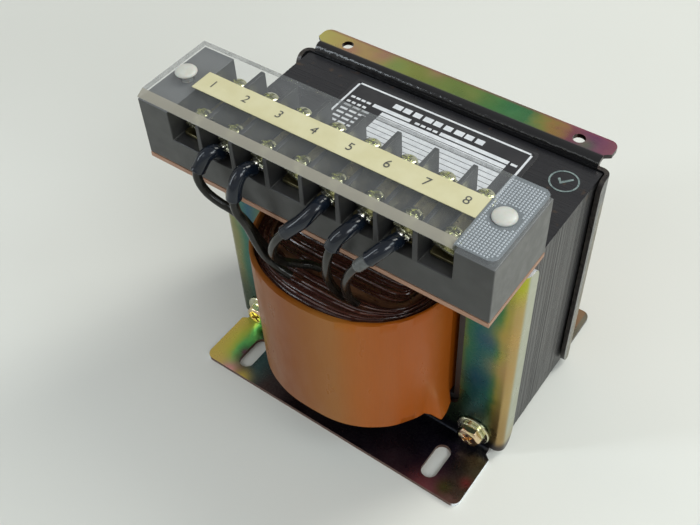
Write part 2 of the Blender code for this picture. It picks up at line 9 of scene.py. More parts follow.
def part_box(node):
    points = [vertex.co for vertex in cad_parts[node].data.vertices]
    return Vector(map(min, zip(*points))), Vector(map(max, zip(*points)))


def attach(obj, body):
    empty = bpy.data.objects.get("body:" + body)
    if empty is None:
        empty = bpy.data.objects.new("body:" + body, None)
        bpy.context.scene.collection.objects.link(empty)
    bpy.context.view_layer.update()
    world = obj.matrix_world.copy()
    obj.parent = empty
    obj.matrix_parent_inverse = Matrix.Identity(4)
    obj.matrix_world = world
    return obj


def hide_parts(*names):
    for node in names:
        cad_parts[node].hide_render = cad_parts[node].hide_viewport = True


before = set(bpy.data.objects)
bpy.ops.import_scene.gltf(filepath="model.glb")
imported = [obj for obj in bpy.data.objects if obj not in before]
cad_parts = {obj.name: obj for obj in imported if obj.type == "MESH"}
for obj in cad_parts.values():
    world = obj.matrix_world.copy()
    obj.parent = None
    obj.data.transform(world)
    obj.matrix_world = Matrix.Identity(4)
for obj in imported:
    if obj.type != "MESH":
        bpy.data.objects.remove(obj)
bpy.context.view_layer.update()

# Looks of a frame-mounted control transformer with an eight-pole barrier terminal block.
# Sizes are in millimetres about the middle of the core, CORE_X right of the CAD origin, and
# are scaled by MM when a mesh is made.
MM = 0.001
CORE_X = 0.8
ASIDE = Matrix.Translation((CORE_X * MM, 0, 0))
POLES = range(1, 9)
SIDES = ((-1, "left"), (1, "right"))


def corner(node, which):
    """The lowest (0) or highest (1) corner of a CAD node, in millimetres from the core's middle."""
    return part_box(node)[which] / MM - Vector((CORE_X, 0, 0))


def middle(node):
    """The middle of a CAD node's box, in the same millimetres."""
    return (corner(node, 0) + corner(node, 1)) / 2


# ---------------------------------------------------------------- meshes

def to_mesh(name, bm):
    """Turn a bmesh in millimetres into a mesh in metres whose faces point out."""
    bmesh.ops.scale(bm, vec=(MM, MM, MM), verts=bm.verts)
    bmesh.ops.recalc_face_normals(bm, faces=bm.faces)
    mesh = bpy.data.meshes.new(name)
    bm.to_mesh(mesh)
    bm.free()
    return mesh


def link(name, data):
    """Put a mesh, curve, light or camera in the scene."""
    obj = bpy.data.objects.new(name, data)
    bpy.context.scene.collection.objects.link(obj)
    return obj


def smooth(mesh, angle):
    """Shade a mesh smooth, with sharp edges where it bends more than angle degrees."""
    mesh.shade_smooth()
    mesh.set_sharp_from_angle(angle=math.radians(angle))


def piece(name, bm, mats, body="base", replaces=(), angle=35):
    """Make an object from a bmesh in millimetres and smooth it where it bends less than angle."""
    mesh = to_mesh(name, bm)
    for mat in mats if isinstance(mats, (list, tuple)) else [mats]:
        mesh.materials.append(mat)
    smooth(mesh, angle)
    return place(name, mesh, body, replaces)


def place(name, mesh, body, replaces, at=Matrix()):
    """Put a mesh in the scene at a place from the core's middle, riding on a CAD body."""
    obj = link(name, mesh)
    obj.matrix_world = ASIDE @ at
    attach(obj, body)
    if replaces:
        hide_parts(*replaces)
    return obj


def cut(obj, bm):
    """Cut the closed shells of a bmesh in millimetres from an object, for good."""
    cutter = link("cutter", to_mesh("cutter", bm))
    cutter.matrix_world = ASIDE
    boolean = obj.modifiers.new("cut", "BOOLEAN")
    boolean.operation = "DIFFERENCE"
    boolean.solver = "EXACT"
    boolean.object = cutter
    bpy.context.view_layer.update()
    graph = bpy.context.evaluated_depsgraph_get()
    mesh = bpy.data.meshes.new_from_object(obj.evaluated_get(graph))
    obj.modifiers.clear()
    obj.data = mesh
    bpy.data.objects.remove(cutter)
    smooth(mesh, 35)


def drill(obj, places, radius, low, high, sides=20):
    """Cut round upright holes from low to high."""
    holes = bmesh.new()
    for place_at in places:
        turned(holes, place_at, [(radius, low), (radius, high)], sides)
    cut(obj, holes)


def add_bevel(obj, width, segments=2, angle=40):
    edge = obj.modifiers.new("edge", "BEVEL")
    edge.width = width * MM
    edge.segments = segments
    edge.limit_method = "ANGLE"
    edge.angle_limit = math.radians(angle)
    edge.harden_normals = True


def arc(cx, cy, rx, ry, start, end, steps):
    points = []
    for i in range(steps + 1):
        angle = math.radians(start + (end - start) * i / steps)
        points.append((cx + rx * math.cos(angle), cy + ry * math.sin(angle)))
    return points


def circle(cx, cy, r, steps, start=0):
    return arc(cx, cy, r, r, start, start + 360 - 360 / steps, steps - 1)


def rounded_rectangle(x0, y0, x1, y1, r, steps=6):
    return (arc(x1 - r, y0 + r, r, r, -90, 0, steps) + arc(x1 - r, y1 - r, r, r, 0, 90, steps)
            + arc(x0 + r, y1 - r, r, r, 90, 180, steps) + arc(x0 + r, y0 + r, r, r, 180, 270, steps))


def dome(r, base, rise):
    """A dome's profile for turned(), from its rim to just short of its middle."""
    angles = [math.pi / 2 * k / 9 for k in range(9)]
    return [(r * math.cos(a), base + rise * math.sin(a)) for a in angles]


def prism(bm, outline, low, high, axis="Z", mat=0):
    """Extrude a closed outline; the outline's axes are the two that are left, in X, Y, Z order."""
    level_at = "XYZ".index(axis)
    loops = []
    for level in (low, high):
        points = [list(point) for point in outline]
        for point in points:
            point.insert(level_at, level)
        loops.append(points)
    skin(bm, loops, mat=mat)


def skin(bm, loops, closed=False, mat=0):
    """Join loops of the same number of points; closed joins the last loop to the first."""
    rings = [[bm.verts.new(p) for p in loop] for loop in loops]
    faces = []
    for here, after in zip(rings, rings[1:] + rings[:closed]):
        for i, a in enumerate(here):
            j = (i + 1) % len(here)
            faces.append(bm.faces.new((a, here[j], after[j], after[i])))
    if not closed:
        faces += [bm.faces.new(rings[0]), bm.faces.new(rings[-1])]
    for face in faces:
        face.material_index = mat
    return rings


def turned(bm, centre, profile, sides=32, axis="Z", mat=0):
    """A solid of revolution; profile is (radius, height) pairs along the axis."""
    x, y, z = centre
    loops = []
    for radius, height in profile:
        around = circle(0, 0, radius, sides, 180 / sides)
        if axis == "Z":
            loops.append([(x + a, y + b, height) for a, b in around])
        else:
            loops.append([(x + a, height, z + b) for a, b in around])
    skin(bm, loops, mat=mat)


def tube(bm, points, radii, sides=18, mat=0):
    """Sweep a circle of changing radius along points, without twist."""
    path = [Vector(p) for p in points]
    side = Vector((1, 0, 0))
    loops = []
    for i, point in enumerate(path):
        ahead = (path[min(i + 1, len(path) - 1)] - path[max(i - 1, 0)]).normalized()
        side = (side - ahead * side.dot(ahead)).normalized()
        other = ahead.cross(side)
        loop = []
        for k in range(sides):
            angle = 2 * math.pi * k / sides
            loop.append(point + radii[i] * (side * math.cos(angle) + other * math.sin(angle)))
        loops.append(loop)
    skin(bm, loops, mat=mat)


def smooth_route(points, samples):
    """A Catmull-Rom curve through the points."""
    path = [Vector(p) for p in points]
    path = [2 * path[0] - path[1]] + path + [2 * path[-1] - path[-2]]
    curve = []
    for i in range(1, len(path) - 2):
        a, b, c, d = path[i - 1:i + 3]
        for k in range(samples):
            t = k / samples
            curve.append(0.5 * (2 * b + (c - a) * t + (2 * a - 5 * b + 4 * c - d) * t * t
                                + (3 * b - a - 3 * c + d) * t ** 3))
    curve.append(path[-2])
    return curve


# ---------------------------------------------------------------- materials

class Shader:
    """A Principled material, with short ways to add procedural detail in millimetres."""

    def __init__(self, name, colour, roughness, metallic=0.0, **sockets):
        self.mat = bpy.data.materials.new(name)
        self.mat.use_nodes = True
        self.tree = self.mat.node_tree
        self.bsdf = self.tree.nodes["Principled BSDF"]
        self.set(self.bsdf, "Base Color", colour)
        self.set(self.bsdf, "Roughness", roughness)
        self.set(self.bsdf, "Metallic", metallic)
        for key, value in sockets.items():
            self.set(self.bsdf, key.replace("_", " "), value)
        self.coords = {}

    def set(self, node, key, value):
        socket = node.inputs[key]
        if isinstance(value, bpy.types.NodeSocket):
            self.tree.links.new(value, socket)
        elif isinstance(value, (tuple, list)) and len(value) == 3 and socket.type == "RGBA":
            socket.default_value = (*value, 1.0)
        else:
            socket.default_value = value

    def node(self, kind, out=0, inputs=None, **props):
        node = self.tree.nodes.new(kind)
        for key, value in props.items():
            setattr(node, key, value)
        for key, value in (inputs or {}).items():
            self.set(node, key, value)
        return node.outputs[out]

    def at(self, stretch=(1, 1, 1)):
        """Object coordinates in millimetres, divided by stretch along each axis."""
        if stretch not in self.coords:
            source = self.node("ShaderNodeTexCoord", out=3)
            scale = tuple(1 / MM / s for s in stretch)
            self.coords[stretch] = self.node("ShaderNodeMapping", inputs={0: source, 3: scale})
        return self.coords[stretch]

    def noise(self, size, detail=3.0, stretch=(1, 1, 1)):
        """Noise whose features are about size millimetres across."""
        return self.node("ShaderNodeTexNoise", inputs={
            "Vector": self.at(stretch), "Scale": 1 / size, "Detail": detail})

    def axis(self, letter):
        split = self.node("ShaderNodeSeparateXYZ", inputs={0: self.at()}).node
        return split.outputs["XYZ".index(letter)]

    def math(self, operation, a, b=0.0, clamp=False):
        return self.node("ShaderNodeMath", inputs={0: a, 1: b}, operation=operation, use_clamp=clamp)

    def times(self, a, b):
        return self.math("MULTIPLY", a, b)

    def plus(self, a, b):
        return self.math("ADD", a, b)

    def remap(self, value, low, high, to_low, to_high):
        return self.node("ShaderNodeMapRange", inputs={
            0: value, 1: low, 2: high, 3: to_low, 4: to_high}, interpolation_type="SMOOTHSTEP")

    def cloud(self, size, detail, low, high, most=1.0):
        """A share from 0 to most, as the noise goes from low to high."""
        return self.remap(self.noise(size, detail), low, high, 0.0, most)

    def ramp(self, value, stops):
        node = self.node("ShaderNodeValToRGB", inputs={0: value}).node
        elements = node.color_ramp.elements
        while len(elements) < len(stops):
            elements.new(0.5)
        for element, (position, colour) in zip(elements, stops):
            element.position = position
            element.color = (*colour, 1.0)
        return node.outputs[0]

    def mix(self, share, a, b):
        node = self.node("ShaderNodeMix", data_type="RGBA").node
        self.set(node, 0, share)
        self.set(node, 6, a)
        self.set(node, 7, b)
        return node.outputs[2]

    def blob(self, centre, radius, weight):
        """A soft bump in a field, radius in millimetres."""
        far = self.node("ShaderNodeVectorMath", out=1, operation="DISTANCE",
                        inputs={0: self.at(), 1: centre})
        square = self.math("POWER", self.math("DIVIDE", far, radius), 2.0)
        return self.times(self.math("EXPONENT", self.times(square, -1.0)), weight)

    def along(self, letter, stops, wobble=0.0, size=9.0):
        """Colours at stops along an axis, in millimetres, whose borders wander by wobble."""
        place_at = self.axis(letter)
        if wobble:
            drift = self.remap(self.noise(size, 3.0), 0.25, 0.75, -wobble, wobble)
            place_at = self.plus(place_at, drift)
        first, last = stops[0][0], stops[-1][0]
        share = self.math("DIVIDE", self.math("SUBTRACT", place_at, first), last - first)
        return self.ramp(share, [((at - first) / (last - first), colour) for at, colour in stops])

    def beyond(self, letter, start, full):
        """0 up to start and 1 from full, along an axis."""
        return self.remap(self.axis(letter), start, full, 0.0, 1.0)

    def patches(self, colour, spots):
        """Soft spots of colour: centre, radius, strength, colour."""
        for centre, radius, strength, tone in spots:
            share = self.math("MULTIPLY", self.blob(centre, radius, strength), 1.0, clamp=True)
            colour = self.mix(share, colour, tone)
        return colour

    def colour(self, value):
        self.set(self.bsdf, "Base Color", value)

    def roughness(self, value, low, high):
        self.set(self.bsdf, "Roughness", self.remap(value, 0.25, 0.75, low, high))

    def bump(self, height, depth):
        """Bump whose full swing is depth millimetres."""
        self.set(self.bsdf, "Normal", self.node("ShaderNodeBump", inputs={
            "Height": height, "Strength": 1.0, "Distance": depth * MM}))


def finish_chromate(sh, film, varnish=None):
    """Grain and sheen of yellow chromate, with black varnish where the mask says so."""
    film = sh.mix(sh.cloud(0.7, 4.0, 0.35, 0.75, 0.05), film, (0.50, 0.48, 0.40))
    rough = sh.remap(sh.noise(6.0, 4.0), 0.25, 0.75, 0.24, 0.38)
    height = sh.noise(1.6, 5.0)
    if varnish is not None:
        film = sh.mix(varnish, film, (0.010, 0.010, 0.011))
        rough = sh.times(rough, sh.remap(varnish, 0.0, 1.0, 1.0, 0.45))
        sh.set(sh.bsdf, "Metallic", sh.remap(varnish, 0.0, 1.0, 0.92, 0.0))
        runs = sh.times(sh.noise(2.6, 3.0), varnish)
        height = sh.plus(height, sh.times(runs, 9.0))
    sh.colour(film)
    sh.set(sh.bsdf, "Roughness", rough)
    sh.bump(height, 0.02)
    return sh.mat


def chromate_front():
    """Iridescent yellow chromate on the front frame: bands of colour across plate and foot."""
    sh = Shader("chromate_front", (0.3, 0.3, 0.1), 0.3, 0.92)
    plate = sh.along("X", (
        (-58.0, (0.30, 0.28, 0.16)), (-55.0, (0.24, 0.25, 0.10)), (-52.0, (0.05, 0.18, 0.11)),
        (-47.0, (0.02, 0.09, 0.15)), (-42.0, (0.07, 0.15, 0.09)), (0.0, (0.20, 0.21, 0.06)),
        (41.0, (0.15, 0.20, 0.05)), (43.2, (0.035, 0.17, 0.09)), (46.5, (0.012, 0.13, 0.13)),
        (50.5, (0.014, 0.15, 0.12)), (52.6, (0.07, 0.22, 0.06)), (54.3, (0.40, 0.35, 0.06)),
        (57.0, (0.46, 0.32, 0.12))), 0.8, 12.0)
    plate = sh.patches(plate, (
        ((55.5, -27, 96), 9.0, 1.3, (0.44, 0.44, 0.04)), ((50.0, -27, 84), 4.0, 0.5, (0.03, 0.05, 0.16)),
        ((49.5, -27, 62), 4.5, 0.5, (0.05, 0.07, 0.17)), ((47.0, -27, 40), 6.0, 0.5, (0.015, 0.05, 0.14)),
        ((56.0, -27, 50), 5.5, 0.7, (0.48, 0.30, 0.12)), ((55.5, -27, 68), 5.0, 0.5, (0.55, 0.33, 0.10))))
    # Painted reflection: the plate is painted darker below z 36, standing in for the dark foot that its
    # lower part reflects.
    plate = sh.mix(sh.remap(sh.axis("Z"), 36.0, 14.0, 0.0, 0.85), plate,
                   sh.along("X", ((40.0, (0.02, 0.05, 0.03)), (50.0, (0.015, 0.03, 0.03)),
                                  (53.5, (0.03, 0.04, 0.02)), (57.0, (0.34, 0.22, 0.08)))))
    wall = sh.mix(sh.beyond("Z", 20.0, 0.0), (0.46, 0.48, 0.36), (0.46, 0.36, 0.18))
    plate = sh.mix(sh.beyond("Y", -25.6, -24.2), plate, wall)
    foot = sh.along("X", (
        (-57.0, (0.72, 0.54, 0.12)), (-53.0, (0.66, 0.60, 0.10)), (-50.0, (0.46, 0.60, 0.09)),
        (-47.6, (0.14, 0.52, 0.14)), (-45.2, (0.06, 0.20, 0.07)), (-42.5, (0.03, 0.05, 0.05)),
        (-36.0, (0.05, 0.09, 0.10)),
        (-28.0, (0.07, 0.04, 0.04)), (0.0, (0.03, 0.02, 0.03)), (30.0, (0.02, 0.014, 0.03)),
        (45.0, (0.03, 0.02, 0.05)), (53.0, (0.06, 0.045, 0.03)), (57.0, (0.12, 0.09, 0.05))), 1.2)
    foot = sh.patches(foot, (
        ((-52, -52, 1), 5.5, 1.0, (0.74, 0.54, 0.14)), ((-45, -53.5, 1), 3.8, 1.3, (0.78, 0.36, 0.33)),
        ((-38.5, -53, 1), 3.4, 1.1, (0.62, 0.46, 0.10)), ((-45, -43, 1), 1.5, 1.0, (0.16, 0.04, 0.09)),
        ((44, -54, 1), 8.0, 1.1, (0.28, 0.11, 0.15)), ((49.5, -48.5, 1), 3.0, 0.8, (0.10, 0.13, 0.02)),
        ((55, -43, 1), 2.2, 1.0, (0.26, 0.04, 0.04)), ((28, -50, 1), 8.0, 0.6, (0.13, 0.06, 0.075)),
        ((54, -52, 1), 3.5, 0.8, (0.20, 0.10, 0.09))))
    film = sh.mix(sh.beyond("Y", -27.6, -29.0), plate, foot)
    # Painted reflection: the bend from plate to foot is painted near-black, standing in for the dark it
    # reflects in place of a highlight from the lights.
    crease = sh.times(sh.beyond("Y", -33.0, -30.0), sh.beyond("Z", 9.0, 4.5))
    crease = sh.times(crease, sh.beyond("X", -47.0, -40.0))
    film = sh.mix(sh.times(crease, 0.9), film, (0.010, 0.010, 0.024))
    return finish_chromate(sh, film)


def chromate_rear():
    """The rear frame: olive to green flange with a magenta end, black varnish in the bend."""
    sh = Shader("chromate_rear", (0.3, 0.3, 0.1), 0.3, 0.92)
    flange = sh.along("X", (
        (-57.0, (0.72, 0.66, 0.20)), (-46.0, (0.74, 0.56, 0.20)), (-36.0, (0.62, 0.42, 0.19)),
        (-29.0, (0.46, 0.45, 0.13)), (-14.0, (0.34, 0.40, 0.10)), (2.0, (0.24, 0.36, 0.10)),
        (14.0, (0.12, 0.32, 0.10)), (26.0, (0.10, 0.29, 0.12)), (32.0, (0.32, 0.33, 0.09)),
        (36.0, (0.48, 0.29, 0.10)), (40.5, (0.34, 0.12, 0.15)), (47.0, (0.26, 0.09, 0.19)),
        (57.0, (0.36, 0.14, 0.18))), 3.0, 7.0)
    flange = sh.patches(flange, (
        ((-43, 29.5, 100), 3.2, 0.55, (0.62, 0.22, 0.26)), ((-30, 34, 100), 3.6, 0.6, (0.66, 0.27, 0.26)),
        ((-10, 36, 100), 3.4, 0.5, (0.64, 0.30, 0.22)), ((-24, 31, 100), 4.0, 0.5, (0.32, 0.50, 0.16)),
        ((20, 34, 100), 5.0, 0.5, (0.06, 0.28, 0.13)), ((6, 31, 100), 4.5, 0.4, (0.38, 0.38, 0.10)),
        ((48, 30, 100), 3.0, 0.6, (0.12, 0.24, 0.13)), ((39, 34, 100), 2.5, 0.4, (0.44, 0.20, 0.13))))
    flange = sh.mix(sh.times(sh.beyond("Y", 34.9, 36.4), 0.6), flange, (0.42, 0.12, 0.17))
    outer = sh.along("Z", ((0.0, (0.30, 0.17, 0.10)), (14.0, (0.34, 0.31, 0.15)),
                           (60.0, (0.30, 0.33, 0.14)), (95.0, (0.36, 0.32, 0.18))), 4.0, 12.0)
    outer = sh.mix(sh.beyond("X", 54.6, 55.6), outer, (0.21, 0.19, 0.14))
    film = sh.mix(sh.beyond("Z", 97.0, 98.6), outer, flange)
    bend = sh.times(sh.beyond("Y", 29.2, 28.3), sh.beyond("Z", 94.0, 96.0))
    edges = sh.beyond("Y", 22.4, 21.4)
    shoulder = sh.times(sh.beyond("Y", 28.4, 27.4), sh.beyond("Z", 84.0, 88.0))
    varnish = sh.math("MAXIMUM", bend, sh.math("MAXIMUM", edges, shoulder))
    return finish_chromate(sh, film, varnish)


def cut_edge(name, ends, middle_tone):
    """Sheared edge of the zinc sheet: at the frame's ends it takes the colour ends, a painted highlight
    on the front frame; dull or varnished between.
    """
    sh = Shader(name, ends, 0.24, 0.95)
    away = sh.math("ABSOLUTE", sh.axis("X"))
    # At the frame's ends the edge takes the colour ends and is less metallic; on the front frame that is
    # a painted highlight.
    tone = sh.mix(sh.remap(away, 54.2, 55.4, 0.0, 1.0), middle_tone, ends)
    sh.colour(sh.mix(sh.cloud(1.5, 3.0, 0.35, 0.75, 0.2), tone, (0.25, 0.22, 0.17)))
    sh.set(sh.bsdf, "Metallic", sh.remap(away, 54.2, 55.4, 0.95, 0.5))
    sh.roughness(sh.noise(2.4, 3.0), 0.26, 0.36)
    sh.bump(sh.noise(0.8, 2.0, stretch=(1, 1, 5)), 0.003)
    return sh.mat


def bright_metal(name, colour, second, roughness, size, depth):
    """Metal: two tones in clouds of size, and a fine unevenness of depth."""
    sh = Shader(name, colour, roughness, 1.0)
    sh.colour(sh.mix(sh.cloud(size, 3.0, 0.35, 0.65), colour, second))
    sh.roughness(sh.noise(0.9, 4.0), roughness * 0.7, roughness * 1.5)
    sh.bump(sh.noise(0.8, 3.0), depth)
    return sh.mat


def varnished_laminations():
    """Black varnish over the sheets' edges: each sheet takes it a little differently."""
    sh = Shader("varnished_laminations", (0.014, 0.013, 0.015), 0.3, 0.0, Specular_IOR_Level=0.62)
    sheet = sh.noise(0.55, 2.0, stretch=(60, 1, 60))
    streak = sh.noise(3.5, 3.0, stretch=(14, 1, 14))
    spots = sh.cloud(3.2, 4.0, 0.62, 0.78)
    top = sh.beyond("Z", CORE_HIGH.z - 0.5, CORE_HIGH.z - 0.2)
    side = sh.math("SUBTRACT", 1.0, top)
    base = sh.mix(sh.remap(sheet, 0.3, 0.75, 0.0, 1.0), (0.012, 0.012, 0.013), (0.032, 0.031, 0.032))
    base = sh.mix(sh.times(top, 0.85), base, (0.010, 0.010, 0.013))
    sh.colour(sh.mix(spots, base, (0.050, 0.030, 0.018)))
    even = sh.remap(sh.noise(8.0, 3.0), 0.25, 0.75, 0.24, 0.34)
    sided = sh.remap(sh.plus(sh.times(sheet, 0.6), sh.times(streak, 0.4)), 0.25, 0.75, 0.28, 0.46)
    sh.set(sh.bsdf, "Roughness", sh.plus(sh.times(even, top), sh.times(sided, side)))
    sh.bump(sh.plus(sh.times(sheet, side), sh.noise(5.0, 3.0)), 0.04)
    return sh.mat


def wrapping_tape():
    """Orange paper tape with painted sheen and shade: darker to the left, with faint turns and fibres
    across it.
    """
    sh = Shader("wrapping_tape", (0.3, 0.1, 0.03), 0.38, 0.0, Specular_IOR_Level=0.22)
    across = sh.axis("X")
    # Painted sheen and shade: the tape's tone changes across the coil with how the light falls on it,
    # lighter towards the right.
    painted_sheen = sh.ramp(sh.remap(across, -38.0, 38.0, 0.0, 1.0), (
        (0.0, (0.22, 0.080, 0.018)), (0.35, (0.185, 0.048, 0.002)), (0.72, (0.29, 0.112, 0.018)),
        (0.86, (0.35, 0.092, 0.005)), (0.97, (0.34, 0.075, 0.002))))
    bands = sh.noise(7.0, 3.0, stretch=(1, 1, 9))
    fibres = sh.noise(0.5, 2.0, stretch=(1, 1, 14))
    tone = sh.mix(sh.remap(bands, 0.3, 0.7, 0.0, 0.22), painted_sheen, (0.29, 0.105, 0.030))
    sh.colour(sh.mix(sh.remap(fibres, 0.3, 0.7, 0.0, 0.12), tone, (0.20, 0.060, 0.010)))
    sh.roughness(sh.noise(5.0, 4.0, stretch=(1, 1, 3)), 0.26, 0.42)
    sh.bump(sh.plus(sh.noise(9.0, 2.0, stretch=(1, 1, 3)), sh.times(fibres, 0.15)), 0.10)
    return sh.mat


def varnished_winding():
    """Dark varnish over wound layers; the layers follow the mesh's own map."""
    sh = Shader("varnished_winding", (0.06, 0.02, 0.01), 0.24, 0.0, Coat_Weight=0.35, Coat_Roughness=0.16)
    where = sh.node("ShaderNodeUVMap", uv_map="layers")
    mapped = sh.node("ShaderNodeMapping", inputs={0: where, 3: (9.0, 34.0, 1.0)})
    layers = sh.node("ShaderNodeTexNoise", inputs={"Vector": mapped, "Scale": 1.0, "Detail": 4.0})
    base = sh.ramp(layers, ((0.30, (0.010, 0.005, 0.005)), (0.47, (0.036, 0.010, 0.008)),
                            (0.60, (0.075, 0.022, 0.013)), (0.74, (0.14, 0.050, 0.026))))
    sh.colour(base)
    sh.roughness(sh.noise(2.5, 3.0), 0.14, 0.34)
    sh.bump(sh.plus(layers, sh.noise(1.4, 3.0)), 0.06)
    return sh.mat


def plain_plastic(name, colour, second, roughness, size=3.0, depth=0.02, grain=0.6, **sockets):
    """Moulded plastic: faint clouds of tone and a fine grain."""
    sh = Shader(name, colour, roughness, 0.0, **sockets)
    sh.colour(sh.mix(sh.cloud(size, 4.0, 0.3, 0.7), colour, second))
    sh.roughness(sh.noise(size * 0.6, 3.0), roughness * 0.85, roughness * 1.2)
    sh.bump(sh.noise(grain, 3.0), depth)
    return sh.mat


def charcoal_moulding():
    """Dark grey moulding: lighter on the top of its ends, a painted lit right end face and painted shade
    down in the poles' pockets.
    """
    sh = Shader("charcoal_moulding", (0.045, 0.045, 0.046), 0.46)
    base = sh.mix(sh.cloud(6.0, 4.0, 0.3, 0.7), (0.031, 0.031, 0.030), (0.041, 0.042, 0.040))
    middle_x = (BLOCK_LOW.x + BLOCK_HIGH.x) / 2
    away = sh.math("ABSOLUTE", sh.math("SUBTRACT", sh.axis("X"), middle_x))
    ends = sh.remap(away, 48.6, 49.0, 0.0, 1.0)
    top = sh.times(ends, sh.beyond("Z", BLOCK_HIGH.z - 0.25, BLOCK_HIGH.z - 0.1))
    # Painted light: the block's right end face is painted lighter, standing in for the light that falls
    # on it from the right.
    base = sh.mix(sh.beyond("X", BLOCK_HIGH.x - 0.3, BLOCK_HIGH.x - 0.1), base, (0.076, 0.077, 0.073))
    # Painted shade: the middle of the block, its pockets and barriers, is painted darker from the
    # pockets' floor up, standing in for the shade down between the barriers.
    pockets = sh.math("SUBTRACT", 1.0, ends)
    pockets = sh.times(pockets, sh.beyond("Z", FLOOR_Z - 0.4, FLOOR_Z - 0.2))
    base = sh.mix(sh.times(pockets, 0.62), base, (0.012, 0.012, 0.014))
    sh.colour(sh.mix(sh.times(top, 0.8), base, (0.150, 0.155, 0.157)))
    sh.roughness(sh.noise(3.6, 3.0), 0.32, 0.44)
    sh.bump(sh.noise(0.5, 3.0), 0.012)
    return sh.mat


def phenolic():
    """Pressed paper board: layered on its edge, copper brown."""
    sh = Shader("phenolic_board", (0.5, 0.27, 0.16), 0.5)
    layers = sh.noise(0.3, 2.0, stretch=(40, 40, 1))
    sh.colour(sh.mix(layers, (0.42, 0.24, 0.155), (0.28, 0.15, 0.095)))
    sh.roughness(sh.noise(2.0, 3.0), 0.42, 0.6)
    sh.bump(layers, 0.03)
    return sh.mat


def clear_plastic(name, colour, alpha, roughness, patchy=1.0):
    """Clear moulding with a slight veil of scratches and dust."""
    sh = Shader(name, colour, roughness, 0.0, IOR=1.49)
    dust = sh.noise(1.2, 5.0)
    veil = sh.plus(sh.times(sh.noise(9.0, 3.0), 0.6), sh.times(dust, 0.4))
    spread = 0.2 * patchy
    sh.set(sh.bsdf, "Alpha", sh.remap(veil, 0.3, 0.7, alpha * (1 - spread), alpha * (1 + spread)))
    sh.roughness(dust, roughness * (1 - spread), roughness * (1 + 1.5 * spread))
    sh.bump(sh.noise(14.0, 2.0), 0.05 * patchy)
    return sh.mat


def make_materials():
    """Every material by a short name."""
    metal, plastic, clear = bright_metal, plain_plastic, clear_plastic
    return {
        "front": chromate_front(),
        "rear": chromate_rear(),
        # The front frame's sheet edge is painted near-white at the frame's ends, a painted highlight
        # where the edge catches the light.
        "front_edge": cut_edge("front_sheet_edge", (0.90, 0.95, 1.0), (0.16, 0.08, 0.06)),
        "rear_edge": cut_edge("rear_sheet_edge", (0.035, 0.03, 0.03), (0.05, 0.03, 0.03)),
        "core": varnished_laminations(),
        "tape": wrapping_tape(),
        "winding": varnished_winding(),
        "paper": plastic("varnished_paper", (0.10, 0.045, 0.02), (0.045, 0.018, 0.010), 0.3, 4.0),
        "moulding": charcoal_moulding(),
        "board": phenolic(),
        "clear": clear("clear_cover", (0.44, 0.46, 0.47), 0.095, 0.10),
        # The cover's chamfer is painted a pale, nearly opaque colour: painted light, standing in for the
        # bright table seen through the clear edge.
        "lit_chamfer": clear("clear_cover_lit_chamfer", (0.33, 0.31, 0.255), 0.84, 0.24, 0.08),
        "clear_side": clear("clear_cover_side", (0.26, 0.27, 0.27), 0.55, 0.14),
        "grip": clear("clear_grip", (0.31, 0.345, 0.37), 0.36, 0.16, 0.5),
        "grip_dots": clear("clear_grip_dots", (0.60, 0.64, 0.68), 0.75, 0.12, 0.5),
        "nylon": plastic("natural_nylon", (0.56, 0.56, 0.52), (0.51, 0.51, 0.46), 0.36, 2.0,
                         Subsurface_Weight=0.15, Subsurface_Scale=0.001),
        "card": plastic("marking_card", (0.60, 0.565, 0.36), (0.56, 0.52, 0.31), 0.62, 7.0,
                        0.015, 0.4),
        "ink": plastic("marking_ink", (0.05, 0.05, 0.05), (0.10, 0.10, 0.09), 0.6, 1.0),
        "label": plastic("label_black", (0.020, 0.020, 0.023), (0.030, 0.029, 0.031), 0.34, 5.0),
        "print": plastic("label_white", (0.72, 0.74, 0.76), (0.62, 0.64, 0.67), 0.5, 2.5),
        "stamp": plastic("stamp_grey", (0.22, 0.28, 0.27), (0.10, 0.14, 0.14), 0.5, 0.9),
        "steel": metal("yellow_zinc_steel", (0.80, 0.70, 0.36), (0.76, 0.56, 0.38), 0.15, 4.0, 0.0015),
        "screw": metal("terminal_screw_zinc", (0.66, 0.66, 0.42), (0.52, 0.52, 0.33), 0.17, 3.0, 0.0015),
        "washer": metal("yellow_zinc_washer", (0.80, 0.80, 0.60), (0.66, 0.65, 0.44), 0.2, 4.0, 0.002),
        "brass": metal("terminal_brass", (0.24, 0.21, 0.11), (0.15, 0.135, 0.075), 0.36, 4.0, 0.002),
        "tin": metal("bright_tin", (0.95, 0.95, 0.94), (0.84, 0.84, 0.83), 0.2, 2.5, 0.002),
        "sleeve": plastic("black_sleeve", (0.003, 0.005, 0.009), (0.006, 0.010, 0.018), 0.16, 5.0,
                          0.001, 9.0, Specular_IOR_Level=0.45),
        "wire": plastic("lead_insulation", (0.006, 0.006, 0.005), (0.013, 0.012, 0.009), 0.18, 3.0,
                        0.004, 3.0, Specular_IOR_Level=0.34),
        "under_sleeve": plastic("pale_sleeve", (0.06, 0.065, 0.065), (0.10, 0.11, 0.11), 0.24, 2.0,
                                0.03, 1.2),
    }


# ---------------------------------------------------------------- end frames

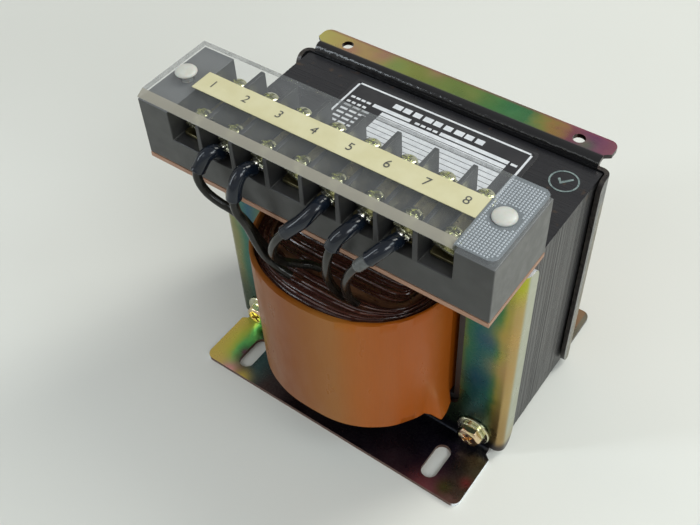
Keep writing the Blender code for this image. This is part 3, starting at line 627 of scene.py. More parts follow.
SHEET = 1.6
SIDE_BEND_R = 2.2
FLANGE_BEND_R = 2.0
PLATE_Y = 26.0
WALL_X = 58.5
WALL_Y = 19.6
FRAME_H = corner("front_frame", 1).z
FLANGE_HALF_W = corner("front_frame", 1).x - 2.5
LOW_FOLD = SHEET / 2 + FLANGE_BEND_R
HIGH_FOLD = FRAME_H - LOW_FOLD
SIDE_FOLD = WALL_X - SIDE_BEND_R
RELIEF_X = 54.8
CLAMP_X = 48.0
CLAMP_Z = (9.2, 87.5)
CLAMP_HOLE_R = 2.9
WINDOW = (-41.0, 17.5, 41.0, 80.0, 5.0)
FOOT_SLOT_X = 41.7
FOOT_SLOT_IN = 11.1
FOOT_SLOT_HALF = (3.0, 7.25)
CORNER_R = 3.0
FLANGE_HOLE = (44.9, 31.8, 2.1)
TOP_FLANGE_Y = 36.4


def quarter_turn(radius):
    """Length along a right-angled bend."""
    return math.pi / 2 * radius


def flat_reach(distance_y):
    """How far past a flange's fold, on the flat sheet, a point is that ends up at distance_y."""
    return quarter_turn(FLANGE_BEND_R) + distance_y - PLATE_Y - FLANGE_BEND_R


def blank_outline(foot_y):
    """Outline of the flat sheet, u across the frame and v up it."""
    wall_u = SIDE_FOLD + quarter_turn(SIDE_BEND_R) + PLATE_Y - SIDE_BEND_R - WALL_Y
    foot_v = LOW_FOLD - flat_reach(foot_y)
    top_v = HIGH_FOLD + flat_reach(TOP_FLANGE_Y)
    flare = flat_reach(PLATE_Y + FLANGE_BEND_R + 1.0)
    r = CORNER_R
    edge = FLANGE_HALF_W
    wall_low, wall_high = LOW_FOLD + 0.1, HIGH_FOLD - 0.1
    right = arc(edge - r, foot_v + r, r, r, -90, 0, 8)
    right += [(edge, LOW_FOLD - flare - 1.5), (RELIEF_X, LOW_FOLD - flare), (RELIEF_X, wall_low)]
    right += arc(wall_u - 3.4, wall_low + 8.0, 3.4, 8.0, -90, 0, 12)
    right += arc(wall_u - 3.4, wall_high - 4.0, 3.4, 4.0, 0, 90, 10)
    right += [(RELIEF_X, wall_high), (RELIEF_X, HIGH_FOLD + flare), (edge, HIGH_FOLD + flare + 1.5)]
    right += arc(edge - r, top_v - r, r, r, 0, 90, 8)
    return right + [(-u, v) for u, v in reversed(right)]


def blank_holes(foot_y):
    """The window for the coil, four clamp holes, two slots in the foot and two holes in the flange."""
    holes = [rounded_rectangle(*WINDOW, 10)]
    slot_v = LOW_FOLD - flat_reach(foot_y - FOOT_SLOT_IN)
    hole_x, hole_y, hole_r = FLANGE_HOLE
    half_u, half_v = FOOT_SLOT_HALF
    for side, _ in SIDES:
        holes += [circle(side * CLAMP_X, z, CLAMP_HOLE_R, 20) for z in CLAMP_Z]
        x = side * FOOT_SLOT_X
        holes.append(rounded_rectangle(x - half_u, slot_v - half_v, x + half_u, slot_v + half_v,
                                       half_u - 0.01, 10))
        holes.append(circle(side * hole_x, HIGH_FOLD + flat_reach(hole_y), hole_r, 24))
    return holes


def fold(run, radius):
    """How far a run past a fold's start goes on ahead, and how far it goes off to the side."""
    if run <= 0:
        return run, 0.0
    if run < quarter_turn(radius):
        return radius * math.sin(run / radius), radius * (1 - math.cos(run / radius))
    return radius, radius + run - quarter_turn(radius)


def folded_point(u, v, side):
    """Where a point of the flat sheet is once its flanges and side walls are bent."""
    if LOW_FOLD <= v <= HIGH_FOLD:
        across, inward = fold(abs(u) - SIDE_FOLD, SIDE_BEND_R)
        return math.copysign(SIDE_FOLD + across, u), side * (PLATE_Y - inward), v
    start = LOW_FOLD if v < LOW_FOLD else HIGH_FOLD
    ahead, outward = fold(abs(v - start), FLANGE_BEND_R)
    return u, side * (PLATE_Y + outward), start + math.copysign(ahead, v - start)


def fold_lines():
    """Where the flat sheet gets its crease lines: a point on each, and the way across it."""
    for radius, start, way in ((FLANGE_BEND_R, -LOW_FOLD, (0, -1, 0)),
                               (FLANGE_BEND_R, HIGH_FOLD, (0, 1, 0)),
                               (SIDE_BEND_R, SIDE_FOLD, (1, 0, 0)),
                               (SIDE_BEND_R, SIDE_FOLD, (-1, 0, 0))):
        bend = quarter_turn(radius)
        for run in [-0.5] + [bend * i / 10 for i in range(11)] + [bend + 0.5]:
            yield Vector(way) * (start + run), way


def make_frame(name, node, side, foot_y, mats):
    """A frame drawn as a flat blank, creased, folded and given the sheet's thickness."""
    bm = bmesh.new()
    for outline in [blank_outline(foot_y)] + blank_holes(foot_y):
        verts = [bm.verts.new((u, v, 0.0)) for u, v in outline]
        for i, vert in enumerate(verts):
            bm.edges.new((vert, verts[(i + 1) % len(verts)]))
    bmesh.ops.triangle_fill(bm, use_beauty=True, edges=bm.edges[:])
    for point, way in fold_lines():
        bmesh.ops.bisect_plane(bm, geom=bm.verts[:] + bm.edges[:] + bm.faces[:], dist=1e-4,
                               plane_co=point, plane_no=way)
    for vert in bm.verts:
        vert.co = Vector(folded_point(vert.co.x, vert.co.y, side))
    obj = piece(name, bm, mats, replaces=(node,), angle=50)
    thick = obj.modifiers.new("sheet", "SOLIDIFY")
    thick.thickness = SHEET * MM
    thick.offset = 0.0
    thick.use_even_offset = True
    thick.material_offset_rim = 1
    add_bevel(obj, 0.22, 2, 60)
    obj.modifiers.new("normals", "WEIGHTED_NORMAL").keep_sharp = True


# ---------------------------------------------------------------- core and coil

LIMB = 38.0
CORE_LOW = corner("core_e_stack", 0)
CORE_HIGH = corner("core_i_stack", 1)
WINDOW_Z = (CORE_LOW.z + LIMB / 2, CORE_HIGH.z - LIMB / 2)
SHEETS = 99
JOINT_GAP = 0.12


def make_core(mat):
    """Interleaved E and I sheets; every second bundle of three is turned over."""
    rng = random.Random(4)
    bm = bmesh.new()
    half, limb = CORE_HIGH.x, LIMB / 2
    side = half - limb
    pitch = (CORE_HIGH.y - CORE_LOW.y) / SHEETS
    base, top = CORE_LOW.z, CORE_HIGH.z
    open_z, shut_z = WINDOW_Z
    end_z = shut_z - JOINT_GAP
    e_half = [(half, base), (half, end_z), (side, end_z), (side, open_z), (limb, open_z), (limb, end_z)]
    e_shape = e_half + [(-x, z) for x, z in reversed(e_half)]
    i_shape = [(-half, shut_z), (half, shut_z), (half, top), (-half, top)]
    for k in range(SHEETS):
        turned_over = (k // 3) % 2
        dx = min(max(rng.gauss(0, 0.035), -0.07), 0.07)
        dz = min(max(rng.gauss(0, 0.03), -0.06), 0.06)
        y = CORE_LOW.y + k * pitch
        for shape in (e_shape, i_shape):
            outline = [(x + dx, (base + top - z if turned_over else z) + dz * 0.4) for x, z in shape]
            prism(bm, outline, y + 0.012, y + pitch - 0.012, axis="Y")
    piece("lamination_stack", bm, mat,
          replaces=("core_e_stack", "core_i_stack"), angle=30)


# The coil's outline, from the former (first number) to the tape (second): half width, how far its
# front and rear bulge past COIL_SIDE, and how square it is.
COIL_SIDE = 22.1
COIL_A = (19.4, 36.2)
COIL_CAP = (3.4, 36.1)
COIL_POWER = (24.0, 2.3)
# Half widths of the layers, inside and outside.
FORMER = (19.4, 20.5)
PRIMARY = (20.8, 27.4)
INSULATION = (27.7, 28.5)
SECONDARY = (28.8, 34.9)
WRAP = (35.15, 36.2)
COIL_Z = (corner("coil_tape_wrap", 0).z, corner("coil_tape_wrap", 1).z)
AROUND = 200


def coil_point(half_width, turn):
    """A point on the coil's outline at half_width, turn from 0 to 1 round it."""
    share = (half_width - COIL_A[0]) / (COIL_A[1] - COIL_A[0])
    cap = COIL_CAP[0] + share * (COIL_CAP[1] - COIL_CAP[0])
    power = COIL_POWER[1] + (COIL_POWER[0] - COIL_POWER[1]) * (1 - share) ** 3
    angle = math.pi * (turn * 2 % 1)
    front = -1 if turn >= 0.5 else 1
    c, s = math.cos(angle), math.sin(angle)
    x = math.copysign(half_width * abs(c) ** (2 / power), c)
    y = COIL_SIDE + cap * abs(s) ** (2 / power)
    return Vector((front * x, front * y, 0))


def coil_layer(name, half_widths, profile, mat, replaces, ripple=0.0, seed=0.0, uv=False):
    """A closed ring whose section is profile: (share from inside to outside, height) pairs."""
    bm = bmesh.new()
    inner, outer = half_widths
    loops = []
    for share, height in profile:
        loop = []
        for i in range(AROUND):
            turn = (i + 0.5) / AROUND
            p = coil_point(inner, turn).lerp(coil_point(outer, turn), share)
            wave = noise.noise(Vector((p.x * 0.11, p.y * 0.11, height * 0.05 + seed)))
            radial = Vector((p.x, p.y * 0.4, 0)).normalized() * wave * ripple
            lift = noise.noise(Vector((p.x * 0.17, p.y * 0.17, seed + share * 31.0))) * ripple * 1.6
            inside = COIL_Z[0] + 3 < height < COIL_Z[1] - 3
            loop.append(p + radial + Vector((0, 0, height + (0.0 if inside else lift))))
        loops.append(loop)
    rings = skin(bm, loops, closed=True)
    if uv:
        layer = bm.loops.layers.uv.new("layers")
        place_of = {}
        for (share, _), ring in zip(profile, rings):
            place_of.update((v, (i / AROUND, share)) for i, v in enumerate(ring))
        for face in bm.faces:
            spots = [place_of[vertex.vert] for vertex in face.loops]
            across = [u for u, _ in spots]
            wraps = max(across) - min(across) > 0.5
            for vertex, (u, v) in zip(face.loops, spots):
                vertex[layer].uv = (u + 1.0 if wraps and u < 0.5 else u, v)
    piece(name, bm, mat, replaces=replaces, angle=60)


def winding_profile(low, high, layers, rng):
    """Section of a winding: flat sides, and ends that step from layer to layer."""
    steps = layers * 4
    heights = [rng.uniform(-0.55, 0) for _ in range(layers + 1)]
    top = []
    for k in range(steps + 1):
        share = k / steps
        layer = min(int(share * layers), layers - 1)
        within = share * layers - layer
        groove = -0.28 * (1 - math.sin(math.pi * within) ** 0.5)
        top.append((share, heights[layer] + groove))
    middle_z = (low + high) / 2
    return ([(share, high + z) for share, z in reversed(top)] + [(0.0, middle_z)]
            + [(share, low - z) for share, z in top[::2]] + [(1.0, middle_z)])


def make_coil(mats):
    """Former, two windings with insulation between, and the tape wrap."""
    rng = random.Random(11)
    low, high = COIL_Z
    for name, node, half_widths, layers in (("wound_primary", "primary_winding", PRIMARY, 9),
                                            ("wound_secondary", "secondary_winding", SECONDARY, 10)):
        profile = winding_profile(low + 1.6, high - 1.6, layers, rng)
        coil_layer(name, half_widths, profile, mats["winding"], (node,), 0.12, layers, uv=True)
    for name, node, half_widths, inset, ripple, seed in (
            ("insulation_turn", "interwinding_insulation", INSULATION, 0.9, 0.25, 5.0),
            ("former_tube", "coil_former", FORMER, 0.0, 0.0, 1.0)):
        flat = ((1.0, low + inset), (1.0, high - inset), (0.0, high - inset), (0.0, low + inset))
        coil_layer(name, half_widths, flat, mats["paper"], (node,), ripple, seed)
    wall = [(1.0, low + 0.15 + (high - low - 0.3) * k / 14) for k in range(15)]
    rest = [(0.78, high), (0.30, high), (0.0, high - 0.2), (0.0, low + 0.2), (0.3, low)]
    coil_layer("tape_wrap", WRAP, [(0.72, low)] + wall + rest, mats["tape"],
               ("coil_tape_wrap",), 0.16, 9.0)
    make_tape_tail(mats["tape"])


# The tape's free end: place round the coil, and how far the lower corner stands off and hangs there.
TAIL = ((0.915, 0.0, 0.0), (0.936, 0.0, 0.0), (0.948, 1.4, 1.4), (0.960, 4.2, 4.0), (0.972, 3.4, 4.0),
        (0.988, 1.8, 3.4))
TAPE = 0.08
LOOSE_REACH = 3.6


def make_tape_tail(mat):
    """The tape's free end at the right of the coil: it rises out of the wrap and its corner is loose."""
    bm = bmesh.new()
    rows, columns = 24, 30
    height = COIL_Z[1] - COIL_Z[0] - 1.2
    grid = []
    for i in range(columns + 1):
        turn = TAIL[0][0] + (TAIL[-1][0] - TAIL[0][0]) * i / columns
        before, after = next(pair for pair in zip(TAIL, TAIL[1:]) if turn <= pair[1][0] + 1e-6)
        share = (turn - before[0]) / (after[0] - before[0])
        off = before[1] + (after[1] - before[1]) * share
        drop = before[2] + (after[2] - before[2]) * share
        p = coil_point(WRAP[1], turn)
        out = Vector((p.x, p.y * 0.5, 0)).normalized()
        rise = 0.24 * i / columns - 0.14
        column = []
        for k in range(rows + 1):
            up = height * (k / rows) ** 1.8
            loose = math.exp(-up / LOOSE_REACH)
            z = COIL_Z[0] + 0.6 + up - drop * loose
            column.append(bm.verts.new(p + out * (rise + off * loose) + Vector((0, 0, z))))
        grid.append(column)
    for a, b in zip(grid, grid[1:]):
        for k in range(rows):
            bm.faces.new((a[k], b[k], b[k + 1], a[k + 1]))
    obj = piece("tape_tail", bm, mat, angle=60)
    thick = obj.modifiers.new("tape", "SOLIDIFY")
    thick.thickness = TAPE * MM
    thick.offset = 1.0


# ---------------------------------------------------------------- screws and nuts

def cut_recess(obj, centre, half_length, half_width, depths, axis="Z", turn=0.0):
    """Cut a screw's cross recess: centre is on its axis, depths are where the cutter starts and ends."""
    a, b = half_length, half_width
    arm = [(a, -b), (a, b), (b, b)]
    outline = []
    for quarter in range(4):
        angle = math.radians(turn + 90 * quarter)
        cos, sin = math.cos(angle), math.sin(angle)
        outline += [(u * cos - v * sin, u * sin + v * cos) for u, v in arm]
    loops = []
    for depth in depths:
        ring = [(u, v, depth) if axis == "Z" else (u, depth, v) for u, v in outline]
        loops.append([centre + Vector(point) for point in ring])
    recess = bmesh.new()
    skin(recess, loops)
    cut(obj, recess)


ACROSS_FLATS = 8.0
# Further out than the hexagon's corners, so that a section is not cut back.
UNCUT = 9.0
# How far in front of the frame's face: the head's back, its front, its recess's floor.
CLAMP_HEAD = (2.1, 4.9, 3.3)
# Radius, and how far in front of the frame's face.
CLAMP_WASHER = ((2.6, 0.05), (6.2, 0.05), (6.45, 0.3), (6.4, 0.85), (6.1, 1.1), (2.6, 1.1))
SPRING_WASHER = ((2.6, 1.15), (4.5, 1.15), (4.6, 1.3), (4.6, 1.95), (4.45, 2.1), (2.6, 2.1))


def hex_body(bm, x, z, near, far, crown):
    """A hexagonal prism along Y from near to far whose far face is chamfered into a crown."""
    limit = ACROSS_FLATS / 2
    start = far - math.copysign(crown, far - near)
    sections = [(near, UNCUT), (start, UNCUT)]
    for share in (0.25, 0.5, 0.75, 1.0):
        sections.append((start + (far - start) * share, limit * (1.155 - 0.30 * share ** 1.6)))
    loops = []
    for y, cap in sections:
        loop = []
        for i in range(48):
            angle = 2 * math.pi * i / 48
            reach = min(limit / math.cos(angle % (math.pi / 3) - math.pi / 6), cap)
            loop.append((x + reach * math.cos(angle), y, z + reach * math.sin(angle)))
        loops.append(loop)
    skin(bm, loops)


def make_clamps(mats):
    """Hexagon-headed recessed screws with washers in front, nuts on thread ends behind."""
    face = PLATE_Y + SHEET / 2
    back, front, floor = (-face - ahead for ahead in CLAMP_HEAD)
    places = [(side * CLAMP_X, z) for z in CLAMP_Z for side, _ in SIDES]
    for number, (x, z) in enumerate(places, 1):
        bm = bmesh.new()
        hex_body(bm, x, z, back, front, 1.0)
        obj = piece(f"clamp_head_{number}", bm, mats["steel"],
                    replaces=(f"clamp_screw_{number}",), angle=30)
        cut_recess(obj, Vector((x, 0, z)), 2.4, 0.55, (floor, front - 1.1), "Y", 20 + 17 * number)
        add_bevel(obj, 0.12)
        bm = bmesh.new()
        for profile, sides in ((CLAMP_WASHER, 48), (SPRING_WASHER, 40)):
            turned(bm, (x, 0, z), [(r, -face - ahead) for r, ahead in profile], sides, "Y")
        piece(f"clamp_washers_{number}", bm, mats["washer"], angle=30)
        bm = bmesh.new()
        hex_body(bm, x, z, face + 0.05, face + 4.2, 0.7)
        thread = [(2.1, face + 3.9)]
        for k in range(7):
            thread += [(2.45, face + 4.1 + 0.4 * k), (2.2, face + 4.3 + 0.4 * k)]
        turned(bm, (x, 0, z), thread + [(1.9, face + 7.0)], 28, "Y")
        piece(f"clamp_nut_end_{number}", bm, mats["steel"],
              replaces=(f"clamp_nut_{number}",), angle=30)


# ---------------------------------------------------------------- terminal block

BLOCK_LOW = corner("terminal_block", 0)
BLOCK_HIGH = corner("terminal_block", 1)
PILOT_R = 2.0
BARRIER = 1.6
DRAFT = 0.15
FLOOR_Z = corner("terminal_bar_1", 0).z - 0.3
COVER_LOW = corner("terminal_cover", 0)
COVER_HIGH = corner("terminal_cover", 1)
GRIP_X = COVER_HIGH.x - 12.4
FASTENERS = [middle(f"cover_fastener_{name}") for _, name in SIDES]


def pole_x(pole):
    """Where a pole is along the block."""
    return middle(f"rear_terminal_screw_{pole}").x


def rows():
    """Row, pole and middle of every terminal screw."""
    for row in ("front", "rear"):
        for pole in POLES:
            yield row, pole, middle(f"{row}_terminal_screw_{pole}")


def make_block(mat):
    """Base with barriers that are drafted a little, and bevelled all over."""
    bm = bmesh.new()
    half = (pole_x(2) - pole_x(1) - BARRIER) / 2
    outline = [(BLOCK_LOW.x, BLOCK_LOW.z), (BLOCK_HIGH.x, BLOCK_LOW.z), (BLOCK_HIGH.x, BLOCK_HIGH.z)]
    for pole in reversed(POLES):
        x = pole_x(pole)
        outline += [(x + half, BLOCK_HIGH.z), (x + half - DRAFT, FLOOR_Z),
                    (x - half + DRAFT, FLOOR_Z), (x - half, BLOCK_HIGH.z)]
    outline.append((BLOCK_LOW.x, BLOCK_HIGH.z))
    prism(bm, outline, BLOCK_LOW.y, BLOCK_HIGH.y, axis="Y")
    obj = piece("barrier_block", bm, mat, replaces=("terminal_block",))
    drill(obj, [at for _, _, at in rows()], PILOT_R, FLOOR_Z - 6.5, FLOOR_Z + 1)
    drill(obj, FASTENERS, PILOT_R, BLOCK_HIGH.z - 8, BLOCK_HIGH.z + 1)
    add_bevel(obj, 0.32, 3)


def make_bars(mat):
    """Flat link bars, each under its pole's two screws."""
    for pole in POLES:
        low, high = corner(f"terminal_bar_{pole}", 0), corner(f"terminal_bar_{pole}", 1)
        bm = bmesh.new()
        prism(bm, rounded_rectangle(low.x, low.y, high.x, high.y, 0.8), low.z, high.z)
        obj = piece(f"link_bar_{pole}", bm, mat,
                    replaces=(f"terminal_bar_{pole}",))
        screws = [middle(f"{row}_terminal_screw_{pole}") for row in ("front", "rear")]
        drill(obj, screws, PILOT_R, low.z - 1, high.z + 1)
        add_bevel(obj, 0.15)


HEAD_TOP = 4.6


def terminal_screw_mesh(both):
    """A captive screw: crowned head with a cross recess, square clamp washer, spring washer, shank."""
    bm = bmesh.new()
    turned(bm, (0, 0, 0), [(1.5, 1.96), (2.85, 1.96), (3.0, 2.15)] + dome(3.0, 3.1, 1.5), 36)
    head = piece("screw_template", bm, both, angle=30)
    cut_recess(head, Vector(), 1.9, 0.48, (3.2, 5.6))
    bm = bmesh.new()
    prism(bm, rounded_rectangle(-3.75, -3.75, 3.75, 3.75, 0.5, 3), 0.02, 0.8, mat=1)
    spring = [(1.7, 0.84), (2.6, 0.84), (2.7, 0.95), (2.7, 1.8), (2.6, 1.92), (1.7, 1.92)]
    turned(bm, (0, 0, 0), spring, 28, mat=1)
    low = FLOOR_Z - 6.0 - middle("rear_terminal_screw_1").z
    turned(bm, (0, 0, 0), [(1.2, low), (1.6, low + 0.6), (1.6, 1.5)], 20)
    rest = to_mesh("screw_rest", bm)
    bm = bmesh.new()
    bm.from_mesh(head.data)
    bm.from_mesh(rest)
    mesh = bpy.data.meshes.new("terminal_screw")
    bm.to_mesh(mesh)
    bm.free()
    for mat in both:
        mesh.materials.append(mat)
    smooth(mesh, 30)
    bpy.data.objects.remove(head)
    bpy.data.meshes.remove(rest)
    return mesh


def make_terminal_screws(mats):
    mesh = terminal_screw_mesh([mats["screw"], mats["washer"]])
    for row, pole, at in rows():
        node = f"{row}_terminal_screw_{pole}"
        seat = corner(node, 1).z - HEAD_TOP
        spread = (pole * 37 + (9 if row == "rear" else 0)) % 13 - 18
        turn = Matrix.Rotation(math.radians(spread), 4, "Z")
        where = Matrix.Translation(Vector((at.x, at.y, seat)) * MM) @ turn
        obj = place(f"captive_{node}", mesh, node, (node,), where)
        add_bevel(obj, 0.1)


# Each lead's route by its pole, from the lug to where it enters the coil.
LEADS = {
    2: [(-32.9, -48.0, 115.4), (-33.0, -49.9, 117.2), (-34.2, -52.1, 116.6), (-35.4, -53.7, 113.8),
        (-36.4, -54.9, 110.7), (-35.9, -55.1, 107.5), (-34.3, -54.8, 104.5), (-32.3, -54.2, 102.3),
        (-29.9, -53.4, 100.4), (-27.3, -52.4, 98.6), (-24.9, -51.0, 95.3), (-23.7, -49.0, 89.3),
        (-23.0, -46.8, 82.4), (-21.8, -45.1, 77.3)],
    3: [(-20.4, -48.0, 115.4), (-20.5, -50.0, 116.8), (-20.7, -52.4, 116.9), (-21.0, -54.2, 115.3),
        (-21.1, -55.6, 112.7), (-21.3, -56.4, 108.2), (-20.6, -56.5, 104.5), (-19.1, -56.1, 101.8),
        (-17.9, -55.4, 98.0), (-17.1, -54.0, 91.1), (-15.7, -52.2, 84.0), (-12.8, -50.8, 79.9),
        (-8.9, -49.8, 77.3)],
    5: [(4.7, -48.0, 115.4), (4.2, -50.9, 115.0), (2.3, -54.0, 112.3), (-1.1, -56.0, 108.5),
        (-4.4, -56.8, 104.4), (-6.8, -56.8, 100.5), (-9.4, -55.6, 94.6), (-11.0, -53.4, 88.4),
        (-10.4, -50.4, 83.8), (-8.0, -46.9, 81.0), (-5.2, -43.9, 79.2), (-3.3, -42.1, 77.3)],
    6: [(17.2, -48.0, 115.4), (17.4, -50.3, 115.9), (16.4, -53.2, 115.3), (14.9, -55.3, 113.3),
        (13.6, -56.3, 110.0), (12.5, -56.6, 106.4), (11.0, -55.8, 100.9), (9.5, -54.2, 94.4),
        (8.6, -51.8, 87.3), (8.5, -49.3, 81.6), (9.3, -47.2, 77.3)],
    7: [(29.7, -48.0, 115.4), (29.5, -50.5, 116.2), (28.4, -53.2, 115.6), (26.6, -55.2, 113.6),
        (24.1, -56.3, 110.6), (21.4, -56.4, 106.7), (18.7, -55.7, 101.5), (16.1, -54.2, 94.9),
        (14.5, -52.0, 88.0), (13.8, -49.6, 82.0), (14.2, -47.2, 77.3)],
}
SLEEVE_LENGTH = {2: 12.0, 3: 14.5, 5: 16.5, 6: 13.0, 7: 11.5}
SLEEVE_R = 2.25
WIRE_R = 1.4


def make_leads(mats):
    """Each lead is a crimp sleeve and the thinner lead out of it; lead 5 has a pale sleeve under."""
    for number, (pole, route) in enumerate(LEADS.items(), 1):
        x, y, z = route[0]
        points = smooth_route([(x, y + 0.5, z)] + route, 12)
        end = SLEEVE_LENGTH[pole]
        sleeve, wire = [], []
        length = 0.0
        for i, point in enumerate(points):
            if i:
                length += (point - points[i - 1]).length
            (sleeve if length <= end else wire).append((length, point))
        radii = []
        for length, _ in sleeve:
            crimp = 0.10 * math.exp(-((length - 3.4) / 2.4) ** 2)
            wave = 0.01 * math.sin(length * 0.4 + pole)
            lip = 0.10 if end - length < 1.1 else 0.0
            radii.append(SLEEVE_R + wave - crimp + lip)
        radii[0] = radii[-1] = SLEEVE_R - 0.2
        bm = bmesh.new()
        tube(bm, [p for _, p in sleeve], radii, 24)
        run = [p for _, p in sleeve[-6:] + wire]
        tube(bm, run, [WIRE_R] * len(run), 20, mat=1)
        if pole == 7:
            under = [p for length, p in sleeve[-3:] + wire if length < end + 5.0]
            tube(bm, under, [SLEEVE_R - 0.32] * (len(under) - 1) + [SLEEVE_R - 0.5], 24, mat=2)
        piece(f"lead_wire_{number}", bm, [mats["sleeve"], mats["wire"], mats["under_sleeve"]],
              replaces=(f"lead_{number}",), angle=50)


LUG_R = 4.6


def make_lugs(mat):
    """Flat ring tongues; the crimped barrel runs into the sleeve."""
    for number, pole in enumerate(LEADS, 1):
        node = f"lead_lug_{number}"
        low, high = corner(node, 0), corner(node, 1)
        x, y = pole_x(pole), middle(f"front_terminal_screw_{pole}").y
        neck = 2.2
        start = math.degrees(math.asin(neck / LUG_R))
        outline = arc(x, y, LUG_R, LUG_R, -90 + start, 270 - start, 40)
        outline += [(x - neck, y - 5.4), (x + neck, y - 5.4)]
        bm = bmesh.new()
        prism(bm, outline, low.z, high.z)
        obj = piece(f"ring_lug_{number}", bm, mat, replaces=(node,))
        drill(obj, [(x, y, 0)], PILOT_R, low.z - 1, high.z + 1, 24)
        add_bevel(obj, 0.16)
        bm = bmesh.new()
        points = [(x, y - 4.9 - 0.25 * k, high.z + 0.1 + 0.6 * min(k / 5, 1)) for k in range(11)]
        radii = [0.9 + 0.8 * min(k / 4, 1) for k in range(11)]
        tube(bm, points, radii, 20)
        piece(f"crimp_barrel_{number}", bm, mat, angle=50)


# ---------------------------------------------------------------- cover and markings

def cover_outline(left, inset, r, steps):
    """The cover from above: square at the left, rounded at the right."""
    right, near, far = COVER_HIGH.x - inset, COVER_LOW.y + inset, COVER_HIGH.y - inset
    return ([(left, near)] + arc(right - r, near + r, r, r, -90, 0, steps)
            + arc(right - r, far - r, r, r, 0, 90, steps) + [(left, far)])


def make_cover(mats):
    """A clear plate, chamfered along the front up to the grip, with two holes for its fasteners."""
    x0, y0, z0, z1 = COVER_LOW.x, COVER_LOW.y, COVER_LOW.z, COVER_HIGH.z
    bm = bmesh.new()
    prism(bm, cover_outline(x0, 0, 3.0, 10), z0, z1)
    # The second material, on the chamfer, is painted light.
    obj = piece("clear_cover_plate", bm, [mats["clear"], mats["lit_chamfer"], mats["clear_side"]],
                body="cover", replaces=("terminal_cover",))
    cutter = bmesh.new()
    y = y0 - 0.5
    slope = [(y, z0 + 0.3), (y0, z0 + 0.3), (y0 + 2.7, z1), (y0 + 2.7, z1 + 0.5), (y, z1 + 0.5)]
    prism(cutter, slope, x0 - 1, GRIP_X, axis="X")
    cut(obj, cutter)
    drill(obj, FASTENERS, 2.1, z0 - 1, z1 + 1, 24)
    for face in obj.data.polygons:
        normal = face.normal
        chamfer = normal.y < -0.3 and 0.3 < normal.z < 0.95
        side = abs(normal.z) < 0.3 and (normal.x < -0.5 or normal.y > 0.5)
        face.material_index = 1 if chamfer else 2 if side else 0
    add_bevel(obj, 0.12)


GRIP_R = 2.7
DOT_PITCH = 0.92
DOT_HALF = 0.30


def make_grip(mats):
    """The knurled end of the cover: a low rimmed pad with rows of small dots round the fastener."""
    z = COVER_HIGH.z
    bm = bmesh.new()
    x0, x1 = GRIP_X + 0.1, COVER_HIGH.x - 0.25
    y0, y1 = COVER_LOW.y + 0.25, COVER_HIGH.y - 0.25
    outline = cover_outline(x0, 0.25, GRIP_R, 8)
    prism(bm, outline, z + 0.02, z + 0.22)
    tube(bm, [(a, b, z + 0.2) for a, b in outline + outline[:1]], [0.17] * (len(outline) + 1), 8, mat=1)
    centre = middle("cover_fastener_right")
    for i in range(int((x1 - x0 - 1.6) / DOT_PITCH) + 1):
        for k in range(int((y1 - y0 - 1.6) / DOT_PITCH) + 1):
            x = x0 + 0.9 + i * DOT_PITCH
            y = y0 + 0.8 + k * DOT_PITCH
            past_x = x - (x1 - GRIP_R)
            past_y = min(y - (y0 + GRIP_R), 0) or max(y - (y1 - GRIP_R), 0)
            rounded = past_x > 0 and past_y and math.hypot(past_x, past_y) > GRIP_R - 0.8
            if rounded or math.hypot(x - centre.x, y - centre.y) < 4.7:
                continue
            loops = []
            for half, level in ((DOT_HALF, 0.20), (DOT_HALF * 0.35, 0.47)):
                loops.append([(x + a * half, y + b * half, z + level)
                              for a, b in ((-1, -1), (1, -1), (1, 1), (-1, 1))])
            skin(bm, loops, mat=1)
    piece("cover_grip", bm, mats, body="cover", angle=20)


def make_fasteners(mat):
    """Nylon push rivets: a low dome and a shank with a tapered end."""
    for _, name in SIDES:
        node = f"cover_fastener_{name}"
        at = middle(node)
        seat = COVER_HIGH.z + 0.32
        bm = bmesh.new()
        head = dome(3.45, seat + 0.28, 1.1)
        turned(bm, at, [(3.3, seat), (3.45, seat + 0.1)] + head + [(0.25, seat + 1.38)], 48)
        low = corner(node, 0).z
        turned(bm, at, [(1.2, low), (1.7, low + 1.4), (1.7, seat + 0.1)], 24)
        piece(f"nylon_rivet_{name}", bm, mat, body=node, replaces=(node,), angle=40)


def numeral(text, x, y, z, size):
    """A generic numeral as a thin mesh, centred at x, y, read from the front."""
    curve = bpy.data.curves.new("numeral", "FONT")
    curve.body = text
    curve.size = size
    curve.align_x = curve.align_y = "CENTER"
    curve.extrude = 0.012
    obj = link("numeral", curve)
    bpy.context.view_layer.update()
    mesh = bpy.data.meshes.new_from_object(obj.evaluated_get(bpy.context.evaluated_depsgraph_get()))
    bpy.data.objects.remove(obj)
    mesh.transform(Matrix.Translation((x, y, z)))
    return mesh


def make_marking_strip(mats):
    """A slightly wavy card with the pole numbers printed on it."""
    low, high = corner("marking_strip", 0), corner("marking_strip", 1)
    bm = bmesh.new()
    columns = 60
    loops = []
    for i in range(columns + 1):
        x = low.x + (high.x - low.x) * i / columns
        sag = 0.03 * math.sin(i * 0.7) + 0.02 * math.sin(i * 1.9)
        under, top = low.z - 0.25, high.z - 0.2 + sag
        loops.append([(x, low.y, under), (x, high.y, under), (x, high.y, top), (x, low.y, top)])
    skin(bm, loops)
    piece("card_strip", bm, mats["card"], body="cover",
          replaces=("marking_strip",), angle=30)
    bm = bmesh.new()
    y = (low.y + high.y) / 2
    for pole in POLES:
        mesh = numeral(str(pole), pole_x(pole), y, high.z - 0.13, 4.4)
        bm.from_mesh(mesh)
        bpy.data.meshes.remove(mesh)
    piece("strip_numerals", bm, mats["ink"], body="cover", angle=30)


